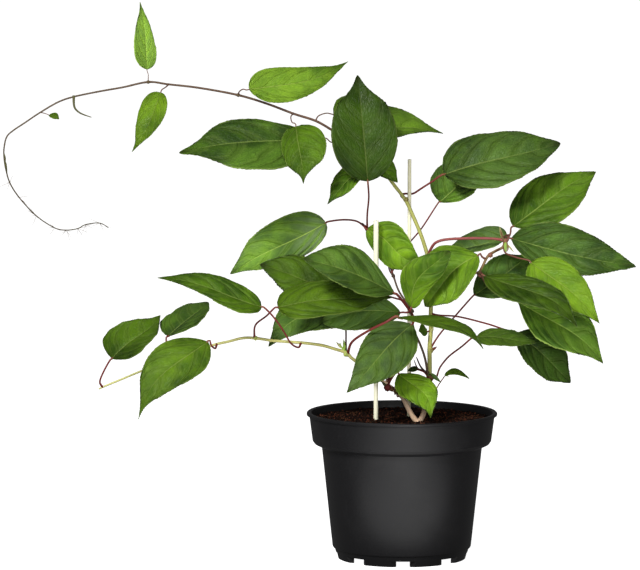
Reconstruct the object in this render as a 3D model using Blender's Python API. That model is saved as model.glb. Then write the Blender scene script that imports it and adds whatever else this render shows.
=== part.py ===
"""A potted kiwi vine: a black nursery pot of soil, two support sticks, and a young vine with its leaves.

Metres, +Z up. The origin is the centre of the pot's underside, the viewer stands at -Y, and +X is to the
right. Routes and leaves are written in millimetres, and scaled by MM where they become meshes.
"""

import math
from collections import namedtuple

import bmesh
import bpy
from mathutils import Vector, noise

MM = 0.001
GAP = 0.3 * MM  # between neighbouring pieces

# pot: a 15 cm nursery pot
POT_SIDES = 40
POT_HEIGHT = 117.8 * MM
RIM_RADIUS = 76.5 * MM
COLLAR_LOW = 95.0 * MM  # height of the collar's lower edge
COLLAR_RADIUS = 71.8 * MM  # there
SHOULDER_Z = 90.0 * MM
SHOULDER_RADIUS = 64.4 * MM
BODY_LOW = 9.4 * MM
BODY_RADIUS = 55.8 * MM
FOOT_RADIUS = 51.6 * MM
FOOT_WALL = 2.2 * MM
FLOOR_UNDER = 6.0 * MM  # height of the floor's underside
HUB_RADIUS = 9.0 * MM  # the mould's gate disc, level with the foot
WALL = 1.5 * MM
LIP = 2.1 * MM  # the rim's rolled lip stands out this far
NOTCHES = 8
NOTCH_WIDE = 9.6 * MM
NOTCH_TALL = 5.0 * MM
DRAIN_RADIUS = 3.5 * MM
DRAIN_AT = 38.0 * MM

# soil
SOIL_Z = 112.0 * MM
LUMP = 1.3 * MM
CALM = 14.0 * MM  # the surface is level this near the root neck

# support sticks
FRONT_STICK = (-21.0 * MM, -3.0 * MM)
FRONT_STICK_RADIUS = 2.0 * MM
FRONT_STICK_TOP = 272.0 * MM
REAR_STICK = (6.0 * MM, 14.0 * MM)
REAR_STICK_RADIUS = 1.6 * MM
REAR_STICK_TOP = 320.0 * MM
STICK_FOOT = 22.0 * MM

# vine
NECK = (13.0 * MM, -16.0 * MM)
NECK_RADIUS = 3.7 * MM
NECK_FOOT = 62.0 * MM
BLADE_THICK = 0.8 * MM
TIP_FROM = 0.68  # share of the length at which the tip begins to be drawn out
TIP_LONG = 0.27  # and the share over which it is
BASE_HALF = 1.1  # half width of the blade where its stalk ends, in millimetres
FOLD = 0.15  # slope of the two halves towards each other
WAVE = 0.025  # height of the margin's waves, as a share of the width
TOOTH = 0.7  # millimetres
CROWD = 1.3  # how far the rows crowd towards the blade's round base
ROW = 8.5  # length of blade between rows of points, half a tooth, in millimetres
STEM_SIDES = 1  # bevel resolution: six sides
FINE = 8  # steps between two points of a route, of which some are kept
STEM_STEP = 11.0  # millimetres between a stem's rings
STALK_STEP = 6.0
STALK = 0.8  # radius of a leaf's stalk, in millimetres
STRAIGHT = 2.5  # the stalk's last millimetres run in line with the blade
KNOT = 3.0  # radius of the knot where the shoots part, in millimetres

BLACK = (0.012, 0.012, 0.013, 1)
PEAT = (0.03, 0.016, 0.01, 1)
BAMBOO = (0.78, 0.7, 0.42, 1)
BARK = (0.42, 0.27, 0.15, 1)
CANE = (0.35, 0.36, 0.12, 1)
RED = (0.32, 0.05, 0.05, 1)
LEAF_DARK = (0.03, 0.12, 0.02, 1)
LEAF_BRIGHT = (0.12, 0.32, 0.02, 1)

# branches: route, radius at the start, radius at the end; seat: how far from its first point a shoot begins
Branch = namedtuple("Branch", "route thick thin")
Shoot = namedtuple("Shoot", "name seat branches knots colour")

SHOOTS = [
    Shoot(
        "woody_base",
        None,
        [
            Branch([(13, -16, 62), (13, -16, 90), (13, -16, 114)], 3.4, 3.7),
            Branch(
                [(13, -16, 111), (16, -15, 116), (18, -14, 122), (20, -12, 131), (22, -10, 139),
                 (22, -9, 146)],
                2.2, 2.0,
            ),
            Branch(
                [(13, -16, 111), (9, -17, 115), (5, -18, 122), (1, -19, 130), (-3, -19, 135), (-8, -20, 139),
                 (-16, -20, 145)],
                2.2, 1.6,
            ),
            Branch([(-10, -20, 140), (-13, -18, 144), (-8, -16, 148)], 1.4, 0.9),
            Branch([(-3, -19, 135), (-4, -21, 138), (-5, -22, 141)], 1.4, 0.8),
        ],
        [(22, -9, 146, KNOT), (-9, -20, 139, 2.2), (-3, -19, 134, 2.3), (-12, -18, 144, 1.8)],
        BARK,
    ),
    Shoot(
        "main_cane",
        KNOT,
        [
            Branch(
                [(22, -9, 146), (22, -6, 159), (22, -3, 170), (23, -1, 184), (23, 0, 197), (23, 2, 210),
                 (22, 3, 225), (21, 5, 240), (19, 6, 248), (15, 7, 260), (10, 8, 272), (3, 8, 287),
                 (-6, 8, 299), (-12, 8, 307), (-21, 8, 317), (-32, 8, 328)],
                1.9, 1.3,
            ),
        ],
        [(23, -3, 168, 2.4), (3, 8, 288, 2.1)],
        CANE,
    ),
    Shoot(
        "runner",
        0.0,
        [
            Branch(
                [(-32, 8, 328), (-39, 8, 334), (-55, 8, 343), (-69, 6, 351), (-87, 4, 357), (-108, 2, 365),
                 (-131, 0, 372), (-162, -6, 378), (-186, -11, 381), (-202, -15, 383), (-222, -20, 379),
                 (-240, -25, 376), (-260, -30, 372), (-272, -33, 368), (-286, -37, 360), (-298, -41, 352),
                 (-307, -44, 346), (-312, -46, 341), (-314, -47, 332), (-314, -47, 325), (-313, -46, 317),
                 (-310, -43, 305), (-303, -39, 293), (-290, -33, 278), (-276, -27, 268), (-267, -24, 266),
                 (-258, -21, 267), (-252, -19, 270), (-241, -16, 271), (-234, -14, 267)],
                1.1, 0.35,
            ),
            Branch(
                [(-260, -30, 372), (-258, -31, 368), (-255, -32, 363), (-252, -33, 360), (-249, -34, 358)],
                1.0, 0.5,
            ),
            Branch([(-314, -47, 328), (-313, -48, 325), (-313, -48, 322)], 0.5, 0.5),
        ],
        [(-202, -15, 383, 1.4), (-131, 0, 372, 1.5)],
        BARK,
    ),
    Shoot(
        "left_shoot",
        0.3,
        [
            Branch(
                [(-16, -20, 145), (-26, -20, 152), (-36, -21, 160), (-41, -22, 164), (-45, -22, 168),
                 (-54, -23, 171), (-64, -24, 174), (-78, -25, 176), (-90, -26, 177), (-103, -26, 178),
                 (-117, -26, 180), (-127, -25, 180), (-139, -24, 177), (-151, -22, 174), (-169, -19, 167),
                 (-189, -17, 160), (-209, -13, 152), (-225, -10, 145), (-239, -8, 139), (-243, -8, 137)],
                1.7, 1.0,
            ),
            Branch([(-46, -22, 168), (-47, -22, 172), (-46, -22, 176)], 1.0, 0.6),
            Branch([(-45, -22, 168), (-49, -23, 173), (-50, -23, 176)], 0.9, 0.5),
        ],
        [(-45, -22, 167, 2.3), (-117, -26, 180, 1.8)],
        CANE,
    ),
    Shoot(
        "middle_shoot",
        KNOT + 0.8,
        [
            Branch(
                [(22, -9, 146), (20, -14, 151), (19, -15, 158), (17, -15, 166), (14, -14, 174),
                 (10, -13, 183), (8, -12, 191), (7, -12, 199), (3, -10, 207), (-3, -4, 216), (-7, 3, 227),
                 (-10, 7, 235), (-15, 10, 243), (-22, 11, 252), (-27, 12, 259), (-28, 12, 265)],
                1.6, 1.0,
            ),
            Branch([(20, -13, 150), (17, -15, 153), (14, -16, 157), (11, -16, 164)], 1.0, 0.5),
            Branch([(17, -15, 153), (12, -17, 155), (9, -17, 162)], 0.7, 0.4),
            Branch([(-7, 3, 227), (-10, 4, 231), (-11, 6, 236)], 0.7, 0.5),
            Branch([(-28, 12, 263), (-31, 11, 268), (-33, 10, 269)], 0.8, 0.5),
        ],
        [(7, -12, 200, 2.3), (-7, 3, 227, 1.5), (-28, 12, 264, 1.8)],
        RED,
    ),
    Shoot(
        "right_shoot",
        2.6,
        [
            Branch(
                [(20.5, 5, 243), (24, 0, 251), (28, -3, 255), (36, -4, 257), (53, -6, 258), (70, -8, 258),
                 (79, -8, 257), (83, -8, 256)],
                1.5, 1.3,
            ),
            Branch(
                [(82, -8, 256), (80, -8, 251), (74, -9, 248), (68, -11, 244), (64, -14, 237), (60, -17, 230)],
                1.2, 1.0,
            ),
            Branch([(62, -15, 233), (57, -14, 230), (53, -13, 229)], 0.8, 0.6),
            Branch([(81, -8, 256), (79, -11, 261), (78, -12, 265)], 1.0, 0.5),
            Branch([(82, -8, 256), (84, -12, 251), (83, -14, 248)], 0.9, 0.5),
        ],
        [(82, -8, 256, 2.2), (70, -11, 245, 2.0)],
        RED,
    ),
]

# A blade's form. peak: where along its length it is widest; full: below 1 it rounds out, above 1 it is
# slim; drip: how much the tip is drawn out; lean: how much wider its one half is. sweep: the midrib's
# sideways bend, curl: its double bend, and bow: how far it arches towards the upper face, as shares of the
# length.
Form = namedtuple("Form", "peak full drip lean sweep curl bow")

# A leaf: its shoot, the points its stalk runs through, the blade's base and tip, and its width, in
# millimetres; turn: degrees from facing the viewer towards the sky; tone: 0 dark to 1 bright; radius: of
# the stalk, in millimetres.
Leaf = namedtuple("Leaf", "name shoot stalk base tip width turn tone form radius", defaults=(STALK,))

LEAVES = [
    Leaf("runner_upright", "runner", [(-202, -15, 383), (-202, -13, 389)],
         (-203, -11, 393), (-209, 4, 446), 22, 40, 0.6, Form(0.26, 1, 0.35, 0.2, 0, 0, 0.04), 0.5),
    Leaf("runner_hanging", "runner", [(-186, -11, 381), (-188, -15, 379)],
         (-192, -20, 375), (-214, -38, 329), 24, 32, 0.7, Form(0.3, 0.85, 0.5, -0.05, 0.08, -0.01, 0.04)),
    Leaf("runner_small", "runner", [(-286, -37, 360), (-282, -36, 359)],
         (-279, -36, 358), (-271, -40, 355), 7, 50, 0.35, Form(0.4, 0.65, 0.3, 0.15, 0, 0.02, 0.05), 0.5),
    Leaf("runner_bright", "runner", [(-131, 0, 372), (-130, -4, 375), (-127, -7, 377)],
         (-122, -8, 377), (-43, 26, 398), 30, 16, 0.85, Form(0.27, 1, 0.35, 0, -0.07, 0.01, 0.01)),
    Leaf("crown_long", "runner", [(-46, 8, 338), (-51, 10, 334), (-57, 8, 334)],
         (-63, 6, 337), (-177, -34, 328), 56, 46, 0.15, Form(0.53, 0.6, 0.65, 0.25, 0, 0.01, 0.04)),
    Leaf("crown_hanging", "runner", [(-87, 4, 357), (-89, -5, 355), (-88, -14, 351)],
         (-85, -18, 348), (-79, -43, 304), 36, -9, 0.3, Form(0.39, 0.6, 0.85, 0.25, 0.02, -0.01, 0.06)),
    Leaf("crown_back", "runner", [(-69, 6, 352), (-67, 9, 355), (-61, 12, 357)],
         (-55, 14, 356), (34, 46, 339), 48, 56, 0.45, Form(0.27, 1, 0.45, 0.25, -0.09, -0.04, 0.04)),
    Leaf("crown_front", "middle_shoot", [(-28, 12, 264), (-28, 3, 276), (-27, -13, 291)],
         (-28, -26, 305), (-36, -6, 388), 52, 5, 0.1, Form(0.4, 0.65, 0.6, 0, 0, 0, 0.05)),
    Leaf("crown_under_left", "main_cane", [(-15, 8, 310), (-22, 1, 315)],
         (-29, -6, 314), (-60, -16, 286), 28, 55, 0.35, Form(0.39, 0.95, 0.45, 0, -0.03, -0.03, 0.06)),
    Leaf("crown_under_right", "main_cane", [(-19, 8, 315), (-23, 0, 326)],
         (-25, -5, 329), (-4, -12, 303), 30, 50, 0.2, Form(0.32, 0.8, 0.2, -0.05, -0.13, -0.01, 0.03)),
    Leaf("middle_bright", "middle_shoot", [(-28, 12, 264), (-30, 10, 267)],
         (-28, 8, 264), (14, 1, 236), 31, -8, 0.95, Form(0.45, 0.6, 0.15, 0.1, -0.01, 0.04, 0.03)),
    Leaf("middle_far_left", "middle_shoot", [(-28, 12, 264), (-36, 14, 270), (-47, 18, 271)],
         (-61, 24, 268), (-139, 52, 224), 36, 8, 0.35, Form(0.33, 0.7, 0.4, -0.15, -0.01, 0.01, 0.04)),
    Leaf("middle_veined", "middle_shoot", [(7, -12, 200), (0, -20, 209)],
         (-7, -27, 216), (-79, -56, 246), 44, 48, 0.2, Form(0.5, 0.8, 0.15, -0.05, -0.01, 0, 0.05), 1.1),
    Leaf("low_bright", "left_shoot", [(-118, -26, 180), (-117, -31, 191), (-108, -37, 199)],
         (-99, -40, 206), (-8, -20, 212), 45, 56, 0.6, Form(0.29, 0.75, 0.5, -0.1, 0, 0.01, 0.04)),
    Leaf("upper_narrow", "left_shoot",
         [(-81, -25, 176), (-83, -30, 173), (-89, -35, 177), (-94, -39, 186), (-102, -43, 198)],
         (-112, -46, 207), (-193, -66, 232), 31, 52, 0.35, Form(0.29, 0.9, 0.35, 0, 0, 0.02, 0.05)),
    Leaf("low_dark_left", "left_shoot", [(-45, -22, 168), (-45, -8, 174), (-45, 8, 184), (-46, 24, 193)],
         (-51, 26, 195), (-107, -14, 172), 43, 45, 0.1, Form(0.26, 0.75, 0.4, 0.1, -0.12, 0, 0.08)),
    Leaf("low_dark_right", "middle_shoot", [(7, -12, 200), (3, -12, 199)],
         (-2, -12, 199), (-64, -14, 192), 31, 18, 0.1, Form(0.5, 0.6, 0.15, 0, -0.07, 0, 0.04)),
    Leaf("middle_serrate", "middle_shoot", [(2, -10, 208), (-12, -8, 212), (-24, -7, 216), (-33, -3, 217)],
         (-40, 2, 216), (-114, 6, 236), 40, 30, 0.35, Form(0.42, 0.75, 0.2, 0, 0.06, 0.02, 0.04)),
    Leaf("front_large", "middle_shoot", [(8, -12, 199), (9, -19, 196)],
         (7, -26, 191), (-45, -64, 141), 41, 21, 0.2, Form(0.38, 1, 0.15, 0.1, 0, -0.01, 0.05)),
    Leaf("front_narrow", "left_shoot", [(-44, -22, 167), (-40, -32, 178), (-27, -43, 188), (-14, -48, 195)],
         (-4, -48, 199), (62, -76, 177), 34, 78, 0.4, Form(0.42, 0.85, 0.75, -0.2, 0.16, -0.07, 0.06), 1.1),
    Leaf("base_bright", "woody_base", [(-12, -20, 141), (-9, -23, 147)],
         (-3, -24, 151), (22, -38, 118), 29, 31, 0.8, Form(0.41, 0.95, 0.35, -0.15, 0.15, -0.04, 0.05)),
    Leaf("base_dark", "woody_base", [(22, -9, 146), (20, -17, 148), (17, -19, 152)],
         (12, -16, 154), (4, -14, 153), 8, 64, 0.05, Form(0.4, 0.8, 0.5, 0.05, 0, 0.02, 0.05), 0.5),
    Leaf("cane_leaflet", "main_cane", [(22, 1, 183), (21, -3, 183)],
         (20, -5, 183), (13, -9, 184), 11, 35, 0.1, Form(0.5, 0.75, 0.4, 0, -0.1, 0, 0.05), 0.5),
    Leaf("base_small", "woody_base", [(21, -11, 133), (26, -10, 136), (30, -9, 142)],
         (34, -6, 148), (54, -4, 145), 8, 62, 0.3, Form(0.38, 0.6, 0.3, 0.3, 0.15, 0.02, 0.09), 0.5),
    Leaf("right_top", "main_cane",
         [(3, 8, 288), (-1, 14, 291), (3, 19, 292), (9, 19, 292), (15, 16, 296), (24, 14, 302)],
         (34, 13, 308), (128, 30, 332), 61, 47, 0.15, Form(0.36, 0.65, 0.3, -0.05, -0.04, 0.01, 0.05), 0.9),
    Leaf("right_top_back", "middle_shoot", [(-8, 2, 230), (-2, 11, 241), (5, 18, 251), (16, 20, 264)],
         (31, 24, 285), (78, 50, 315), 49, 54, 0.15, Form(0.38, 0.7, 0.5, 0.15, 0.05, -0.03, 0.06), 0.7),
    Leaf("right_upper", "right_shoot", [(82, -8, 256), (86, -4, 261)],
         (89, 4, 267), (158, 46, 308), 51, 44, 0.35, Form(0.36, 0.9, 0.15, -0.1, 0, -0.01, 0.05)),
    Leaf("right_outer", "right_shoot", [(83, -8, 256), (85, -9, 258)],
         (87, -8, 258), (186, -15, 236), 40, 22, 0.1, Form(0.39, 0.85, 0.2, 0.1, -0.03, 0, 0.03)),
    Leaf("right_bright", "right_shoot", [(80, -8, 252), (82, -15, 247), (91, -24, 244)],
         (101, -31, 241), (154, -57, 195), 36, 17, 0.9,
         Form(0.33, 0.95, 0.25, -0.05, 0.04, -0.01, 0.04), 0.7),
    Leaf("right_long", "right_shoot", [(60, -17, 230), (62, -29, 229)],
         (64, -38, 231), (134, -95, 196), 35, 48, 0.3, Form(0.41, 1, 0.4, -0.2, 0.09, -0.03, 0.03)),
    Leaf("right_low", "right_shoot", [(62, -15, 232), (68, -12, 220), (80, -9, 211)],
         (93, -9, 207), (160, -20, 159), 48, 40, 0.3, Form(0.45, 1, 0.3, -0.05, 0.04, -0.02, 0.05)),
    Leaf("right_lowest", "main_cane",
         [(23, 0, 197), (30, -4, 196), (45, -5, 195), (68, -2, 189), (82, 2, 184)],
         (92, 4, 180), (136, 10, 140), 37, 34, 0.05, Form(0.45, 0.7, 0.35, 0, 0.01, 0.01, 0.05)),
    Leaf("right_small", "woody_base",
         [(22, -9, 146), (27, -12, 147), (30, -13, 155), (37, -14, 164), (47, -16, 172)],
         (59, -16, 180), (105, -40, 178), 24, 60, 0.4, Form(0.38, 0.6, 0.3, -0.1, -0.02, 0.02, 0.04)),
    Leaf("right_dark", "main_cane", [(23, -3, 168), (30, 1, 180), (42, 3, 194)],
         (58, 0, 212), (104, 26, 243), 38, 32, 0.05, Form(0.46, 0.75, 0.5, -0.15, -0.04, 0, 0.05)),
    Leaf("right_back", "right_shoot", [(79, -8, 257), (83, -2, 260)],
         (84, 3, 259), (36, 18, 243), 27, 56, 0.15, Form(0.39, 0.6, 0.15, -0.3, 0.06, 0.02, 0.05)),
    Leaf("centre_right", "right_shoot", [(66, -12, 242), (63, -13, 244)],
         (60, -14, 245), (18, -13, 204), 47, 34, 0.65, Form(0.46, 0.7, 0.25, -0.1, -0.06, -0.02, 0.05)),
    Leaf("centre_front", "middle_shoot", [(7, -12, 200), (6, -17, 200)],
         (7, -22, 204), (37, -30, 250), 27, 10, 0.6, Form(0.46, 0.6, 0.15, 0.05, 0.14, 0.03, 0.05)),
    Leaf("left_low", "left_shoot", [(-240, -8, 139), (-242, -9, 143), (-239, -10, 151)],
         (-232, -10, 162), (-194, 8, 195), 50, 56, 0.3, Form(0.33, 0.9, 0.3, 0.05, -0.08, 0.04, 0.05)),
    Leaf("left_dark", "left_shoot", [(-189, -17, 160), (-188, -14, 169)],
         (-187, -10, 180), (-156, 14, 205), 42, 64, 0.15, Form(0.42, 0.6, 0.35, 0.05, -0.06, 0.02, 0.04)),
    Leaf("left_front", "left_shoot", [(-148, -23, 175), (-149, -28, 172), (-152, -33, 175)],
         (-155, -34, 178), (-209, -58, 119), 39, 17, 0.55, Form(0.34, 1.1, 0.6, 0, -0.1, 0.02, 0.06)),
]


def clear_scene():
    for thing in list(bpy.data.objects):
        bpy.data.objects.remove(thing, do_unlink=True)


def finish(name, colour, roughness):
    material = bpy.data.materials.new(name)
    material.use_nodes = True
    shader = material.node_tree.nodes["Principled BSDF"]
    shader.inputs["Base Color"].default_value = colour
    shader.inputs["Roughness"].default_value = roughness
    return material


def add(name, mesh, material):
    thing = bpy.data.objects.new(name, mesh)
    bpy.context.scene.collection.objects.link(thing)
    if material is not None:
        mesh.materials.clear()
        mesh.materials.append(material)
    mesh.shade_smooth()
    mesh.set_sharp_from_angle(angle=math.radians(35))
    return thing


def drop(thing):
    mesh = thing.data
    bpy.data.objects.remove(thing, do_unlink=True)
    bpy.data.meshes.remove(mesh)


def evaluated_mesh(thing):
    graph = bpy.context.evaluated_depsgraph_get()
    graph.update()
    return bpy.data.meshes.new_from_object(thing.evaluated_get(graph), depsgraph=graph)


def boolean(thing, others, operation):
    """Joins the others to the thing, or cuts them from it, in one step, and removes them."""
    group = bpy.data.collections.new("operands")
    bpy.context.scene.collection.children.link(group)
    for other in others:
        group.objects.link(other)
    step = thing.modifiers.new(operation.title(), "BOOLEAN")
    step.operation = operation
    step.operand_type = "COLLECTION"
    step.collection = group
    step.solver = "EXACT"
    mesh = evaluated_mesh(thing)
    thing.modifiers.clear()
    old = thing.data
    thing.data = mesh
    bpy.data.meshes.remove(old)
    for other in others:
        drop(other)
    bpy.data.collections.remove(group)


def turned(profile):
    """A solid of revolution from (radius, height) points that run from the axis, round, to the axis."""
    shape = bmesh.new()
    points = [shape.verts.new((radius, 0, height)) for radius, height in profile]
    edges = [shape.edges.new(pair) for pair in zip(points, points[1:])]
    bmesh.ops.spin(
        shape,
        geom=points + edges,
        cent=(0, 0, 0),
        axis=(0, 0, 1),
        angle=math.tau,
        steps=POT_SIDES,
        use_merge=True,
    )
    bmesh.ops.remove_doubles(shape, verts=shape.verts, dist=0.01 * MM)
    bmesh.ops.recalc_face_normals(shape, faces=shape.faces)
    return shape


def to_mesh(shape, name):
    mesh = bpy.data.meshes.new(name)
    shape.to_mesh(mesh)
    shape.free()
    return mesh


def cylinder(name, radius, low, high, at, sides):
    shape = bmesh.new()
    bmesh.ops.create_cone(
        shape, cap_ends=True, segments=sides, radius1=radius, radius2=radius, depth=high - low
    )
    bmesh.ops.translate(shape, verts=shape.verts, vec=(at[0], at[1], (low + high) / 2))
    return add(name, to_mesh(shape, name), None)


def inner_wall(height):
    """Radius of the pot's inside at a height on the collar."""
    share = (height - COLLAR_LOW) / (POT_HEIGHT - COLLAR_LOW)
    return COLLAR_RADIUS + share * (RIM_RADIUS - LIP - COLLAR_RADIUS) - WALL


def pot_profile():
    floor_top = FLOOR_UNDER + WALL
    outside = [
        (0, 0),
        (HUB_RADIUS, 0),
        (HUB_RADIUS + WALL, FLOOR_UNDER),
        (FOOT_RADIUS - FOOT_WALL, FLOOR_UNDER),
        (FOOT_RADIUS - FOOT_WALL, 0),
        (FOOT_RADIUS, 0),
        (FOOT_RADIUS + 0.7 * MM, BODY_LOW - 0.7 * MM),
        (BODY_RADIUS - 0.6 * MM, BODY_LOW - 0.4 * MM),
        (BODY_RADIUS, BODY_LOW + 0.6 * MM),
        (SHOULDER_RADIUS, SHOULDER_Z),
        (COLLAR_RADIUS - 1.5 * MM, COLLAR_LOW - 2.2 * MM),
        (COLLAR_RADIUS, COLLAR_LOW),
        (RIM_RADIUS - LIP, POT_HEIGHT - 3.0 * MM),
        (RIM_RADIUS, POT_HEIGHT - 2.2 * MM),
        (RIM_RADIUS, POT_HEIGHT - 0.8 * MM),
        (RIM_RADIUS - 0.7 * MM, POT_HEIGHT),
    ]
    inside = [
        (inner_wall(POT_HEIGHT), POT_HEIGHT - 0.4 * MM),
        (inner_wall(COLLAR_LOW), COLLAR_LOW),
        (SHOULDER_RADIUS - WALL, SHOULDER_Z + 1.2 * MM),
        (BODY_RADIUS - WALL, BODY_LOW + 1.8 * MM),
        (FOOT_RADIUS - FOOT_WALL, floor_top),
        (0, floor_top),
    ]
    return outside + inside


def build_pot(material):
    pot = add("pot", to_mesh(turned(pot_profile()), "pot"), material)
    cutters = []
    for number in range(NOTCHES):
        angle = math.radians(-90 + 360 / NOTCHES * number)
        across = Vector((math.cos(angle), math.sin(angle), 0))
        notch = bmesh.new()
        bmesh.ops.create_cube(notch, size=1)
        bmesh.ops.scale(notch, vec=(9 * MM, NOTCH_WIDE, 2 * NOTCH_TALL), verts=notch.verts)
        bmesh.ops.translate(notch, vec=(FOOT_RADIUS, 0, 0), verts=notch.verts)
        turn = Vector((1, 0, 0)).rotation_difference(across).to_matrix()
        bmesh.ops.rotate(notch, cent=(0, 0, 0), matrix=turn, verts=notch.verts)
        cutters.append(add(f"notch_{number}", to_mesh(notch, "notch"), None))
        low, high = FLOOR_UNDER - 2 * MM, FLOOR_UNDER + 4 * MM
        cutters.append(cylinder(f"drain_{number}", DRAIN_RADIUS, low, high, across * DRAIN_AT, 10))
    boolean(pot, cutters, "DIFFERENCE")
    return pot


def lumpy(x, y):
    """Height of the soil's surface over its level."""
    calm = min(1.0, math.hypot(x - NECK[0], y - NECK[1]) / CALM)
    rim = math.hypot(x, y) / inner_wall(SOIL_Z)
    coarse = noise.noise(Vector((x, y, 0)) / (17 * MM))
    fine = noise.noise(Vector((x, y, 0.02)) / (7 * MM))
    return LUMP * calm * (0.8 * coarse + 0.5 * fine) * (1 - 0.6 * rim ** 4)


def build_soil(material):
    floor_top = FLOOR_UNDER + WALL
    edge = inner_wall(SOIL_Z) - GAP
    level = [(edge * share, SOIL_Z) for share in (1, 0.86, 0.7, 0.54, 0.38, 0.2, 0)]
    profile = [
        (0, floor_top + GAP),
        (FOOT_RADIUS - FOOT_WALL - 0.2 * MM, floor_top + GAP),
        (BODY_RADIUS - WALL - GAP, BODY_LOW + 2.2 * MM),
        (SHOULDER_RADIUS - WALL - GAP, SHOULDER_Z + 1.4 * MM),
        (inner_wall(COLLAR_LOW) - GAP, COLLAR_LOW + 0.3 * MM),
    ]
    shape = turned(profile + level)
    for point in shape.verts:
        if point.co.z > SOIL_Z - 0.1 * MM:
            point.co.z += lumpy(point.co.x, point.co.y)
    soil = add("soil", to_mesh(shape, "soil"), material)
    top = SOIL_Z + 9 * MM
    holes = [
        cylinder("neck_hole", NECK_RADIUS + 1.6 * GAP, NECK_FOOT - GAP, top, NECK, 16),
        cylinder("front_hole", FRONT_STICK_RADIUS + 1.4 * GAP, STICK_FOOT - GAP, top, FRONT_STICK, 12),
        cylinder("rear_hole", REAR_STICK_RADIUS + 1.4 * GAP, STICK_FOOT - GAP, top, REAR_STICK, 12),
    ]
    boolean(soil, holes, "DIFFERENCE")
    return soil


def build_sticks(material):
    front = cylinder("stick_front", FRONT_STICK_RADIUS, STICK_FOOT, FRONT_STICK_TOP, FRONT_STICK, 12)
    rear = cylinder("stick_rear", REAR_STICK_RADIUS, STICK_FOOT, REAR_STICK_TOP, REAR_STICK, 12)
    front.data.materials.append(material)
    rear.data.materials.append(material)


def smooth(points, spacing):
    """Points about a spacing apart along a smooth curve through the given points, with both its ends."""
    ends = [2 * points[0] - points[1]] + points + [2 * points[-1] - points[-2]]
    out = [points[0]]
    for a, b, c, d in zip(ends, ends[1:], ends[2:], ends[3:]):
        for step in range(1, FINE + 1):
            t = step / FINE
            bend = (2 * a - 5 * b + 4 * c - d) * t * t + (3 * b - a - 3 * c + d) * t ** 3
            place = (2 * b + (c - a) * t + bend) / 2
            if (place - out[-1]).length >= spacing:
                out.append(place)
    if (points[-1] - out[-1]).length < spacing / 2 and len(out) > 1:
        out.pop()
    return out + [points[-1]]


def tube(points, radii):
    """A closed six-sided tube along the points, in millimetres."""
    curve = bpy.data.curves.new("tube", "CURVE")
    curve.dimensions = "3D"
    curve.bevel_depth = MM
    curve.bevel_resolution = STEM_SIDES
    curve.use_fill_caps = True
    line = curve.splines.new("POLY")
    line.points.add(len(points) - 1)
    for knot, place, radius in zip(line.points, points, radii):
        knot.co = (*(place * MM), 1)
        knot.radius = radius
    guide = bpy.data.objects.new("tube", curve)
    bpy.context.scene.collection.objects.link(guide)
    mesh = evaluated_mesh(guide)
    bpy.data.objects.remove(guide, do_unlink=True)
    bpy.data.curves.remove(curve)
    return add("tube", mesh, None)


def between(a, b, share):
    return a + (b - a) * share


def branch_path(branch, seat):
    """The branch's smooth route, its first point moved along it by the seat and the gap."""
    route = [Vector(point) for point in branch.route]
    if seat is not None:
        ahead = (route[1] - route[0]).normalized()
        route[0] = route[0] + ahead * (seat + GAP / MM)
    return smooth(route, STEM_STEP)


def branch_tube(branch, path):
    last = len(path) - 1
    return tube(path, [between(branch.thick, branch.thin, index / last) for index in range(last + 1)])


def knot(place):
    """A swelling at a joint of the stem, from (x, y, z, radius) in millimetres."""
    shape = bmesh.new()
    bmesh.ops.create_icosphere(shape, subdivisions=1, radius=place[3] * MM)
    bmesh.ops.translate(shape, verts=shape.verts, vec=Vector(place[:3]) * MM)
    return add("knot", to_mesh(shape, "knot"), None)


def nearest(paths, point):
    """The place on the shoot's centre lines that is nearest to the point."""
    found = []
    for path in paths:
        for a, b in zip(path, path[1:]):
            run = b - a
            share = max(0.0, min(1.0, (point - a).dot(run) / run.length_squared))
            found.append(a + run * share)
    return min(found, key=lambda place: (place - point).length)


def stalk_tube(leaf, paths):
    """The leaf's stalk: from the shoot's centre line to just short of the blade."""
    base = Vector(leaf.base)
    along = (Vector(leaf.tip) - base).normalized()
    root = nearest(paths, Vector(leaf.stalk[0]))
    way = [Vector(point) for point in leaf.stalk[1:]]
    straight = base - along * STRAIGHT
    path = smooth([root] + way + [straight], STALK_STEP) + [base - along * (GAP / MM)]
    radii = [0.6 * leaf.radius] + [leaf.radius] * (len(path) - 1)
    return tube(path, radii)


def build_shoot(shoot):
    seats = [shoot.seat] + [None] * (len(shoot.branches) - 1)
    paths = [branch_path(branch, seat) for branch, seat in zip(shoot.branches, seats)]
    pieces = [branch_tube(branch, path) for branch, path in zip(shoot.branches, paths)]
    pieces += [knot(place) for place in shoot.knots]
    pieces += [stalk_tube(leaf, paths) for leaf in LEAVES if leaf.shoot == shoot.name]
    body, others = pieces[0], pieces[1:]
    boolean(body, others, "UNION")
    body.name = shoot.name
    body.data.materials.clear()
    body.data.materials.append(finish(shoot.name, shoot.colour, 0.55))
    return body


def blade_axes(leaf):
    """Along the blade, out of its upper face, and across it."""
    along = (Vector(leaf.tip) - Vector(leaf.base)).normalized()
    viewer = Vector((0, -1, 0))
    facing = (viewer - along * viewer.dot(along)).normalized()
    up = facing.cross(along)
    if up.dot(Vector((0.2, 0, 1))) < 0:
        up = -up
    turn = math.radians(leaf.turn)
    normal = facing * math.cos(turn) + up * math.sin(turn)
    return along, normal, normal.cross(along)


def outline(t, form):
    """Half width of an ovate blade with a drawn-out tip, as a share of its widest, at t along it."""
    drawn = min(1.0, max(0.0, (t - TIP_FROM) / TIP_LONG))
    body = math.sin(math.pi * min(1.0, t) ** (math.log(0.5) / math.log(form.peak)))
    return max(0.0, body) ** form.full * (1 - form.drip * drawn * drawn * (3 - 2 * drawn))


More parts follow.
